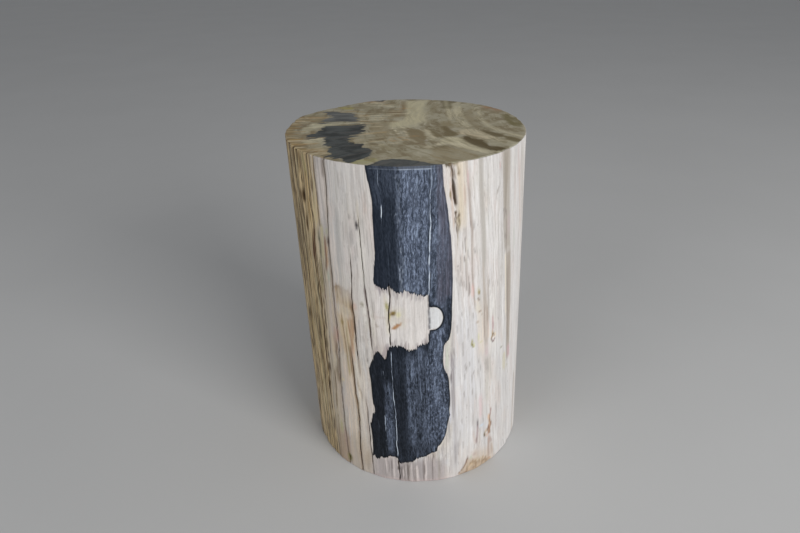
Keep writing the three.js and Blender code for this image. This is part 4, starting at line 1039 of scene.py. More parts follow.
for a, t, rx, ry, lean in (
    (290.8, 0.873, 1.2, 2.6, 0.0), (291.7, 0.862, 1.0, 1.0, 1.0), (290.3, 0.846, 1.3, 1.2, -0.8), (291.6, 0.839, 1.2, 1.3, 0.6),
    (291.2, 0.822, 0.7, 2.0, 0.0), (292.3, 0.866, 0.8, 2.0, 0.0), (290.9, 0.856, 0.8, 1.8, 0.4), (292.2, 0.850, 0.9, 1.6, -0.6), (290.2, 0.858, 0.8, 1.4, 0.0), (291.0, 0.833, 0.8, 1.4, 0.0),
):
    blob((84, 64, 36), a, t, rx, ry, 0.95, lean)
blob((216, 204, 178), 291.7, 0.850, 2.2, 6.0, 0.75)
stroke((150, 134, 98), [(292.1, 0.868), (292.7, 0.850), (292.2, 0.832)], 0.7, 0.8)
for at, wd, kk in (
    ([(290.3, 0.874), (290.9, 0.862), (290.6, 0.852), (291.2, 0.842), (291.0, 0.826)], 0.7, 0.9), ([(292.0, 0.872), (291.8, 0.858), (292.4, 0.845)], 0.7, 0.8),
    ([(291.6, 0.846), (291.9, 0.832), (291.5, 0.818), (291.3, 0.806)], 0.5, 0.55), ([(290.0, 0.862), (290.2, 0.848)], 0.7, 0.7), ([(289.2, 0.955), (289.6, 0.94), (289.3, 0.93)], 0.8, 0.7),
    ([(288.9, 0.992), (289.4, 0.975), (289.3, 0.96)], 0.8, 0.55), ([(290.0, 0.985), (290.3, 0.965)], 0.8, 0.7),
):
    stroke((78, 58, 34), at, wd, kk, 1.2)
stroke((170, 158, 134), [(291.4, 0.812), (291.2, 0.79)], 0.8, 0.5)
blob((84, 72, 46), 287.0, 0.998, 3.6, 3.4, 0.95)
blob((100, 82, 54), 288.2, 0.999, 2.4, 3.0, 0.9)
blob((132, 118, 84), 290.4, 0.999, 4.0, 2.4, 0.75)
blob((110, 94, 66), 292.1, 0.974, 1.5, 2.6, 0.85)
blob((120, 104, 76), 291.6, 0.985, 1.2, 2.0, 0.7)
stroke((196, 186, 168), [(292.8, 0.93), (293.0, 0.89)], 1.6, 0.5)
stroke((196, 168, 152), [(294.8, 0.93), (295.0, 0.905)], 1.4, 0.6)
bar((184, 172, 158), [(1.02, 294.4, 296.2), (0.96, 295.6, 296.6), (0.955, 295.6, 296.6)], 0.7, 0.8)
bar((196, 168, 166), [(0.975, 295.7, 296.8), (0.93, 296.1, 297.2)], 0.75, 0.8, 5)
# painted shade along the shallow groove of right_wave
bar((170, 158, 150), [(0.94, 296.2, 297.4), (0.90, 296.7, 298.0), (0.87, 297.0, 298.0), (0.85, 297.4, 298.6), (0.82, 298.1, 299.2), (0.795, 298.1, 299.0), (0.75, 298.2, 299.1), (0.70, 298.3, 299.1), (0.67, 298.7, 299.6), (0.64, 299.2, 300.1), (0.61, 299.7, 300.3), (0.59, 299.9, 300.4)], 0.85, 0.7)
blob((224, 184, 176), 299.0, 0.645, 2.2, 9.0, 0.6)
for spots, k in (
    ([(294.9, 0.80, 0.785), (295.2, 0.775, 0.765), (294.6, 0.752, 0.738), (295.4, 0.74, 0.70), (295.7, 0.695, 0.655), (292.8, 0.755, 0.74), (292.8, 0.732, 0.716), (292.9, 0.697, 0.682), (292.3, 0.68, 0.672), (293.4, 0.680, 0.670), (296.9, 0.69, 0.635), (297.4, 0.67, 0.64)], 0.85),
    ([(294.4, 0.826, 0.812), (295.4, 0.828, 0.80), (293.8, 0.79, 0.77), (299.6, 0.766, 0.758), (300.2, 0.762, 0.754), (296.4, 0.77, 0.75), (291.6, 0.72, 0.70), (294.4, 0.68, 0.665), (299.4, 0.84, 0.825), (305.0, 0.91, 0.90), (297.6, 0.845, 0.835)], 0.6),
    ([(293.4, 0.588, 0.578), (294.4, 0.56, 0.54), (294.8, 0.518, 0.505), (293.8, 0.49, 0.45), (295.2, 0.415, 0.400), (296.0, 0.405, 0.39), (297.6, 0.417, 0.408), (295.0, 0.385, 0.37), (300.0, 0.383, 0.374), (302.8, 0.415, 0.408), (302.4, 0.38, 0.365), (299.0, 0.37, 0.35), (294.4, 0.318, 0.305), (299.2, 0.32, 0.30), (304.0, 0.392, 0.378), (288.6, 0.478, 0.466), (289.3, 0.468, 0.458), (288.2, 0.50, 0.49)], 0.7),
    ([(297.4, 0.60, 0.575), (299.4, 0.575, 0.56), (296.6, 0.53, 0.50), (292.6, 0.25, 0.22), (293.2, 0.225, 0.205), (299.8, 0.22, 0.18), (292.2, 0.18, 0.12), (296.8, 0.16, 0.12), (294.0, 0.13, 0.11), (301.2, 0.30, 0.28), (291.6, 0.65, 0.60), (290.8, 0.55, 0.53), (308.6, 0.66, 0.64), (311.0, 0.645, 0.635), (314.6, 0.645, 0.63), (317.2, 0.652, 0.642), (309.4, 0.622, 0.612), (310.4, 0.60, 0.59)], 0.5),
):
    hairs((132, 122, 116), spots, k * 0.85, 0.8, 1.4)
for a, t0, t1 in ((290.4, 0.70, 0.60), (294.0, 0.62, 0.50), (292.4, 0.47, 0.36), (296.4, 0.38, 0.30), (300.6, 0.46, 0.36), (291.2, 0.34, 0.22), (295.2, 0.26, 0.12), (298.4, 0.24, 0.13), (302.0, 0.34, 0.24), (301.2, 0.72, 0.66), (300.4, 0.92, 0.84), (309.8, 0.94, 0.80), (312.6, 0.86, 0.74), (311.6, 0.74, 0.66), (313.4, 0.40, 0.28), (319.0, 0.60, 0.46), (331.6, 0.60, 0.40), (328.8, 0.98, 0.84)):
    stroke((230, 228, 226), [(a, t0), (a + 0.9 * (t0 - t1) * 10, t1)], 1.6, 0.55, 6.0)
# band A: a grey streak down a shallow flute, partly the stone's colour and partly the flute's shade painted in
bar((176, 171, 164), [(1.02, 301.3, 303.7), (0.95, 301.8, 304.3), (0.90, 302.2, 304.9), (0.85, 302.9, 305.6), (0.80, 303.7, 306.1), (0.75, 304.1, 306.6), (0.70, 304.5, 306.6)], 0.9, 0.9)
bar((196, 190, 186), [(0.76, 306.4, 307.4), (0.66, 306.2, 307.6), (0.60, 306.4, 308.0)], 0.6, 1.2)
bar((178, 168, 158), [(0.715, 304.4, 305.6), (0.65, 305.0, 306.4), (0.60, 305.4, 307.6), (0.55, 305.8, 308.6), (0.50, 306.1, 308.8), (0.45, 306.7, 308.8)], 0.88, 0.8, 10)
bar((218, 206, 190), [(0.61, 301.5, 305.3), (0.52, 301.8, 305.5), (0.43, 302.6, 305.8)], 0.5, 1.6, 14)
bar((226, 222, 216), [(0.62, 308.8, 313.6), (0.52, 309.2, 313.8), (0.42, 309.6, 313.8)], 0.55, 2.0, 14)
bar((162, 148, 137), [(0.585, 305.7, 306.7), (0.53, 305.8, 306.9), (0.48, 306.1, 307.1)], 0.75, 0.7, 6)
bar((166, 150, 138), [(0.58, 307.4, 308.4), (0.55, 307.6, 308.6), (0.525, 307.7, 308.7)], 0.75, 0.7, 4)
stroke((206, 196, 187), [(307.0, 0.56), (307.2, 0.52), (307.5, 0.485)], 0.9, 0.7, 4.0)
bar((196, 178, 168), [(0.53, 308.1, 309.3), (0.50, 308.2, 309.4), (0.475, 308.4, 309.6)], 0.7, 0.8, 4)
bar((196, 178, 178), [(0.445, 306.8, 309.0), (0.415, 307.0, 309.2)], 0.75, 0.9, 4)
bar((172, 166, 160), [(0.41, 306.9, 309.3), (0.37, 307.4, 309.7), (0.355, 307.7, 309.9)], 0.8, 0.9, 5)
bar((196, 192, 184), [(0.35, 307.8, 309.8), (0.30, 307.9, 309.8), (0.25, 308.2, 310.2)], 0.75, 1.0)
stroke((168, 158, 150), spine_points("right_c"), 1.2, 0.6)
stroke((186, 180, 172), [(310.3, 0.40), (310.7, 0.37), (311.4, 0.335)], 1.8, 0.7)
blob((226, 212, 196), 309.2, 0.49, 1.4, 8.0, 0.4)
stroke((222, 208, 194), [(305.0, 0.54), (305.4, 0.48), (305.9, 0.44)], 1.8, 0.5)
# band B: a grey-brown streak down a shallow flute, partly the stone's colour and partly the flute's shade painted in
bar((172, 164, 154), [(1.02, 315.2, 321.6), (0.95, 316.2, 322.3), (0.90, 317.0, 322.6), (0.85, 317.7, 323.1), (0.80, 318.0, 324.0), (0.75, 319.0, 324.5), (0.72, 320.0, 325.0)], 0.88, 1.0, 6)
bar((150, 142, 130), [(1.0, 317.2, 320.6), (0.93, 317.8, 320.9), (0.88, 318.4, 320.5), (0.84, 318.8, 320.6)], 0.75, 1.0, 8)
bar((154, 144, 136), [(0.82, 320.0, 321.4), (0.76, 320.9, 322.0), (0.71, 321.3, 322.2)], 0.75, 0.9, 8)
bar((192, 176, 178), [(0.82, 321.6, 323.8), (0.77, 322.2, 324.2)], 0.6, 1.0, 8)
hairs((140, 132, 126), [(318.0, 0.845, 0.838), (319.4, 0.842, 0.836), (320.4, 0.836, 0.828), (318.6, 0.83, 0.82), (319.6, 0.772, 0.765), (321.0, 0.765, 0.757)], 0.8, 1.6, 1.4)
bar((164, 154, 143), [(0.715, 321.5, 325.4), (0.65, 322.0, 326.2), (0.60, 322.7, 326.7), (0.55, 323.4, 327.0), (0.50, 323.9, 327.2), (0.45, 324.1, 327.4), (0.40, 324.5, 327.8), (0.365, 324.9, 328.0), (0.345, 325.3, 327.4)], 0.92, 0.9, 5)
bar((146, 136, 126), [(0.66, 322.4, 324.2), (0.58, 323.0, 324.8), (0.50, 324.2, 325.8), (0.42, 324.8, 326.2)], 0.55, 1.0, 10)
bar((196, 166, 170), [(0.395, 325.6, 328.0), (0.352, 326.0, 328.6)], 0.7, 1.0, 4)
bar((232, 222, 204), [(0.71, 320.2, 321.5), (0.65, 320.8, 322.0), (0.60, 321.3, 322.6), (0.55, 322.0, 323.2), (0.51, 322.6, 323.6)], 0.8, 0.8, 6)
patch((206, 200, 174), [(321.4, 0.385), (323.8, 0.38), (324.6, 0.34), (324.0, 0.312), (321.6, 0.325), (320.8, 0.35)], 0.75, 1.4)
blob((168, 164, 150), 322.2, 0.322, 3.4, 1.3, 0.75, -0.5)
blob((182, 178, 156), 326.2, 0.322, 2.4, 3.0, 0.7)
bar((196, 190, 182), [(0.99, 334.6, 338.8), (0.88, 337.6, 341.6), (0.77, 340.6, 344.6)], 0.7, 2.0, 18)
stroke((206, 186, 172), [(333.6, 0.92), (336.6, 0.82), (338.6, 0.77)], 3.0, 0.6, 14)
stroke((204, 180, 176), [(330.6, 0.98), (332.0, 0.92)], 2.4, 0.45)
stroke((184, 186, 176), [(328.4, 0.76), (329.4, 0.72)], 2.4, 0.5)
scratch((132, 124, 118), 312.9, 314.4, 0.911, 0.95, 1.3, 1.9)
blob((150, 142, 136), 313.2, 0.906, 1.4, 3.0, 0.8, 0.7)
blob((176, 170, 164), 312.6, 0.896, 1.6, 1.4, 0.6)
blob((206, 176, 172), 314.2, 0.967, 1.5, 4.0, 0.7)
blob((132, 112, 48), 302.6, 0.634, 1.7, 3.6, 1.0)
blob((206, 200, 164), 302.1, 0.640, 2.2, 5.0, 0.45)
blob((124, 100, 72), 302.4, 0.614, 1.9, 2.2, 0.92, -0.5)
blob((222, 208, 188), 301.2, 0.608, 2.2, 2.6, 0.5, -0.8)
blob((214, 206, 188), 302.0, 0.589, 4.0, 7.0, 0.5)
blob((150, 126, 104), 303.3, 0.574, 2.4, 1.4, 0.8, -0.5)
blob((170, 150, 130), 301.8, 0.543, 2.6, 1.6, 0.6, -0.3)
blob((176, 158, 138), 304.8, 0.560, 2.0, 1.3, 0.6, -0.6)
blob((116, 112, 52), 299.2, 0.4715, 1.9, 3.0, 1.0, -0.5)
blob((156, 150, 96), 298.9, 0.4825, 1.5, 4.4, 0.85)
blob((208, 206, 152), 300.1, 0.4720, 1.4, 3.0, 0.7)
blob((206, 204, 166), 302.6, 0.492, 1.6, 6.0, 0.65)
blob((200, 194, 150), 304.2, 0.474, 3.0, 1.2, 0.6, -0.3)
stroke((184, 178, 172), [(311.7, 0.558), (311.7, 0.536)], 1.0, 0.7, 3.0)
stroke((188, 158, 158), [(311.7, 0.533), (311.9, 0.515), (311.9, 0.496)], 1.3, 0.85, 3.0)
stroke((168, 138, 140), [(311.9, 0.516), (312.0, 0.502)], 0.9, 0.85, 2.0)
blob((186, 160, 126), 311.7, 0.4865, 1.6, 2.6, 0.85)
blob((122, 98, 56), 312.2, 0.4775, 2.2, 2.9, 1.0, 0.3)
blob((166, 136, 88), 311.3, 0.4725, 1.4, 2.4, 0.9, 0.4)
blob((232, 212, 178), 313.6, 0.4745, 1.5, 2.6, 0.85)
blob((122, 96, 82), 311.2, 0.4655, 1.2, 2.2, 1.0, -0.6)
blob((92, 54, 50), 312.2, 0.4555, 1.9, 1.5, 1.0)
blob((116, 72, 66), 313.2, 0.4585, 1.1, 1.8, 0.95, 0.5)
blob((108, 72, 62), 311.3, 0.4595, 1.0, 1.8, 0.95, -0.6)
blob((132, 104, 82), 312.8, 0.4712, 0.8, 1.2, 0.75, 0.6)
# painted highlight inside the small pit
blob((244, 230, 220), 312.8, 0.4645, 1.4, 1.4, 0.95)
blob((148, 148, 128), 319.4, 0.413, 2.8, 1.4, 0.75, -0.4)
blob((196, 176, 170), 308.4, 0.455, 1.6, 1.6, 0.6)
stroke((160, 154, 150), [(316.0, 0.205), (316.4, 0.185)], 1.6, 0.7)
stroke((190, 176, 172), [(316.0, 0.17), (316.2, 0.13)], 2.0, 0.5)
stroke((184, 176, 172), [(317.8, 0.28), (318.6, 0.23)], 1.8, 0.6)
stroke((212, 188, 188), [(304.6, 0.27), (304.9, 0.21)], 3.4, 0.65)
blob((198, 214, 228), 305.6, 0.1655, 3.8, 3.0, 0.85, -0.2)
bar((192, 156, 126), [(0.190, 310.9, 311.9), (0.168, 310.7, 312.1), (0.145, 310.5, 312.2), (0.128, 310.3, 311.8), (0.114, 310.5, 311.6)], 0.85, 0.6, 3)
stroke((142, 94, 88), [(311.8, 0.209), (311.6, 0.195), (311.5, 0.184)], 1.1, 0.95, 2.0)
stroke((146, 108, 78), [(311.6, 0.186), (311.9, 0.162), (311.8, 0.142), (311.4, 0.122)], 0.8, 0.78, 2.0)
hairs((220, 192, 160), [(311.1, 0.168, 0.156), (310.9, 0.132, 0.126)], 0.7, 0.8, 1.4)
stroke((216, 180, 144), [(310.3, 0.188), (310.4, 0.176)], 1.2, 0.8, 2.0)
stroke((128, 88, 62), [(310.6, 0.148), (310.5, 0.136)], 1.1, 0.8, 1.6)
hairs((120, 88, 62), [(311.2, 0.172, 0.162), (312.2, 0.160, 0.148), (310.8, 0.142, 0.134), (311.6, 0.126, 0.116), (309.8, 0.136, 0.128)], 0.8, 1.3, 1.6)
blob((150, 112, 84), 311.2, 0.122, 1.9, 4.6, 0.85)
blob((206, 170, 146), 309.6, 0.112, 2.6, 2.6, 0.7)
blob((200, 178, 150), 308.5, 0.131, 2.6, 3.8, 0.8)
blob((116, 98, 66), 307.8, 0.1195, 2.2, 5.0, 1.0, -0.15)
blob((88, 70, 44), 307.7, 0.1165, 1.4, 2.6, 0.9)
bar((164, 142, 134), [(0.098, 310.2, 312.6), (0.075, 310.4, 313.6)], 0.8, 1.0, 3)
bar((172, 156, 142), [(0.07, 310.1, 311.0), (0.02, 310.0, 311.2)], 0.7, 0.8, 4)
bar((190, 172, 156), [(0.07, 312.2, 313.8), (0.03, 312.6, 314.6)], 0.6, 1.0, 4)
stroke((112, 106, 108), [(302.7, 0.192), (302.8, 0.172)], 1.5, 0.95, 2.5)
stroke((172, 154, 154), [(302.8, 0.168), (302.6, 0.14), (302.3, 0.11)], 1.6, 0.85, 3)
stroke((150, 134, 130), [(302.2, 0.122), (302.2, 0.112)], 1.6, 0.7, 2.5)
stroke((204, 180, 168), [(300.4, 0.145), (300.9, 0.12)], 1.6, 0.6)
patch((199, 182, 164), [(294.6, -0.04), (295.4, 0.010), (296.8, 0.030), (298.0, 0.046), (299.4, 0.074), (301.6, 0.078), (304.0, 0.076), (307.0, 0.066), (310.0, 0.056), (313.0, 0.042), (316.0, 0.0), (316.0, -0.04)], 0.62, 6.5)
patch((190, 170, 146), [(290.6, -0.04), (291.2, 0.006), (292.6, 0.0155), (294.0, 0.0245), (294.9, 0.034), (295.9, 0.044), (296.5, 0.051), (297.6, 0.053), (299.6, 0.049), (302.6, 0.044), (306.0, 0.036), (309.4, 0.028), (312.6, 0.014), (315.0, -0.04)], 0.80, 1.3)
patch((170, 148, 122), [(292.0, -0.05), (293.4, 0.004), (295.0, 0.014), (296.6, 0.026), (298.2, 0.040), (300.6, 0.040), (303.0, 0.030), (307.0, 0.022), (311.0, 0.010), (313.0, -0.05)], 0.55, 3.0)
for a, t, rx, ry, lean, c in (
    (301.6, 0.030, 3.0, 2.2, -0.4, (134, 106, 72)), (304.4, 0.024, 2.4, 1.3, -0.4, (160, 130, 98)), (307.3, 0.019, 2.6, 2.0, -0.3, (138, 114, 86)), (299.2, 0.026, 2.2, 2.4, 0.3, (204, 182, 150)),
    (297.6, 0.018, 2.0, 3.4, 0.3, (200, 178, 150)), (303.2, 0.012, 3.0, 1.8, -0.3, (202, 180, 152)), (300.4, 0.012, 2.2, 2.2, 0.0, (146, 122, 96)), (309.6, 0.010, 2.2, 1.6, -0.3, (150, 122, 94)),
    (295.4, 0.005, 2.6, 2.0, 0.2, (138, 114, 96)), (292.8, 0.004, 1.8, 1.4, 0.2, (164, 142, 122)), (305.6, 0.031, 2.0, 3.4, 0.0, (208, 192, 168)), (302.8, 0.036, 1.6, 2.8, 0.0, (206, 190, 164)),
    (298.4, 0.034, 1.2, 2.6, 0.0, (152, 124, 92)), (306.8, 0.036, 1.4, 1.4, 0.0, (168, 142, 112)), (311.4, 0.010, 1.8, 2.0, 0.0, (180, 138, 114)), (298.6, 0.058, 2.4, 2.8, 0.3, (186, 190, 168)),
    (300.8, 0.066, 2.6, 2.2, 0.0, (184, 164, 156)),
):
    blob(c, a, t, rx, ry, 0.85, lean)
stroke((128, 100, 76), [(296.8, 0.0605), (296.4, 0.054), (295.7, 0.0438), (294.8, 0.0338), (293.9, 0.0240), (292.6, 0.0165), (291.4, 0.0105)], 1.5, 0.95, 1.4)
stroke((120, 92, 84), [(296.6, 0.0560), (296.2, 0.0510), (295.8, 0.046)], 1.3, 0.8, 1.4)
hairs((142, 116, 86), [(299.8, 0.044, 0.030), (303.8, 0.034, 0.022), (306.0, 0.026, 0.012), (301.8, 0.020, 0.006), (308.6, 0.026, 0.012), (296.2, 0.024, 0.008)], 0.8, 1.1, 1.6)
stroke((178, 158, 146), [(311.2, 0.100), (311.0, 0.064), (311.4, 0.030)], 2.6, 0.62, 4.0)
stroke((158, 136, 124), [(310.8, 0.072), (310.7, 0.050), (310.9, 0.030)], 0.9, 0.6, 3.0)
stroke((170, 152, 138), [(312.9, 0.060), (313.4, 0.030)], 1.6, 0.6, 4.0)
# beside the band
stroke((196, 190, 180), [(287.0, 0.575), (287.5, 0.52), (287.7, 0.46)], 1.8, 0.55)
bar((196, 200, 186), [(0.50, 285.3, 287.0), (0.45, 284.6, 286.6), (0.42, 285.0, 286.6)], 0.7, 1.2, 6)
bar((176, 172, 170), [(0.56, 288.3, 289.4), (0.50, 287.6, 289.0), (0.45, 287.0, 289.2)], 0.6, 1.0)
bar((160, 155, 158), [(0.45, 287.4, 289.0), (0.40, 287.5, 289.2), (0.35, 287.7, 289.5), (0.30, 287.9, 289.6), (0.25, 288.0, 289.8)], 0.75, 0.9, 12)
for a, t0, t1, k in ((287.7, 0.46, 0.38, 0.8), (288.5, 0.44, 0.30, 0.7), (289.1, 0.40, 0.28, 0.6), (288.1, 0.34, 0.24, 0.75), (289.3, 0.47, 0.42, 0.5), (288.9, 0.28, 0.19, 0.5)):
    stroke((128, 122, 126), [(a, t0), (a + 0.2, t1)], 0.8, k, 5.0)
stroke((190, 186, 186), [(288.1, 0.42), (288.4, 0.33), (288.6, 0.27)], 0.8, 0.7)
bar((108, 100, 102), [(0.395, 287.1, 288.0), (0.365, 287.2, 288.0)], 0.8, 0.7, 3)
bar((178, 174, 175), [(0.25, 288.1, 290.0), (0.18, 288.6, 290.2), (0.10, 288.7, 290.6), (0.04, 288.6, 290.6)], 0.62, 1.4, 14)
bar((196, 196, 204), [(0.37, 286.9, 287.5), (0.30, 286.9, 287.7), (0.22, 286.4, 287.6)], 0.7, 0.6, 6)
stroke((148, 142, 142), [(289.3, 0.12), (289.6, 0.07)], 1.5, 0.6)
stroke((150, 142, 142), [(291.0, 0.13), (291.2, 0.10)], 1.6, 0.5)
stroke((150, 144, 142), [(286.2, 0.22), (286.6, 0.17)], 1.6, 0.6)
stroke((176, 170, 170), [(282.6, 0.13), (282.8, 0.03)], 1.3, 0.6)
stroke((176, 170, 170), [(286.8, 0.12), (287.0, 0.04)], 1.3, 0.6)
# -- the far side: the same stone, its own streaks
strip((196, 182, 156), 140, 188, -0.1, 1.1, 0.6, 16)
strip((188, 176, 154), 58, 96, -0.1, 1.1, 0.45, 18)
strip((206, 198, 186), 345, 400, -0.1, 1.1, 0.35, 16)
patch((182, 158, 124), [(150, 0.40), (155, 0.43), (160, 0.41), (163, 0.36), (161, 0.29), (157, 0.24), (153, 0.26), (149, 0.33)], 0.6, 5.0)
patch((172, 150, 118), [(66, 0.86), (70, 0.88), (75, 0.85), (76, 0.78), (73, 0.72), (69, 0.74), (66, 0.79)], 0.6, 4.0)
patch((180, 160, 130), [(28, 0.04), (33, 0.12), (38, 0.15), (42, 0.08), (45, -0.02), (27, -0.02)], 0.7, 3.0)
r2 = np.random.default_rng(77)
far_colors = [(146, 122, 80), (124, 98, 62), (168, 160, 150), (188, 150, 110), (150, 142, 132), (176, 166, 156), (196, 170, 158), (110, 88, 58)]
for n in range(120):
    a = 344.0 + r2.uniform(0, 216.0)
    t0 = r2.uniform(-0.05, 0.95)
    length = r2.uniform(0.05, 0.5)
    u0 = float(grain_of(a, 1.0))
    at = [(float(grain_angle(u0, t)), t) for t in (t0, t0 + length / 2, t0 + length)]
    color = far_colors[int(r2.integers(0, len(far_colors)))]
    stroke(color, at, r2.uniform(1.0, 3.4), r2.uniform(0.25, 0.75), 10.0)
for n in range(34):
    a, t0 = 346.0 + r2.uniform(0, 210.0), r2.uniform(0.02, 0.98)
    blob(far_colors[int(r2.integers(0, 4))], a, t0, r2.uniform(1.2, 3.2), r2.uniform(3.0, 10.0), r2.uniform(0.5, 0.9))
for s in SPINES:
    if s["name"].startswith("back"):
        stroke((132, 110, 78), s["at"], 2.0, 0.55)


SEAT_GAIN = 1.85  # its colours are written as the seat's dimmer light shows them


# -- the seat: growth rings sweep round a pith that lay beyond the right edge
def seat_patch(color, outline, strength, soft=1.6, foot=False):
    live, xy = (is_foot, foot_xy) if foot else (is_seat, seat_xy)
    d = np.full(len(P), -99.0)
    d[live] = outline_distance(xy[live, 0] * TALL, xy[live, 1] * TALL, [(a * TALL, b * TALL) for a, b in outline])[0]
    lay(color, strength * ramp(d, -soft, soft), SEAT_GAIN)


def seat_stroke(color, at, width, strength, foot=False):
    live, xy = (is_foot, foot_xy) if foot else (is_seat, seat_xy)
    x, y = xy[live, 0] * TALL, xy[live, 1] * TALL
    best = np.full(x.shape, 1e9)
    for (ax, ay), (bx, by) in zip(at[:-1], at[1:]):
        ax, ay, bx, by = ax * TALL, ay * TALL, bx * TALL, by * TALL
        ex, ey = bx - ax, by - ay
        h = np.clip(((x - ax) * ex + (y - ay) * ey) / (ex * ex + ey * ey), 0, 1)
        best = np.minimum(best, (x - ax - h * ex) ** 2 + (y - ay - h * ey) ** 2)
    a = np.zeros(len(P))
    a[live] = strength * np.exp(-best / width**2)
    lay(color, a, SEAT_GAIN)


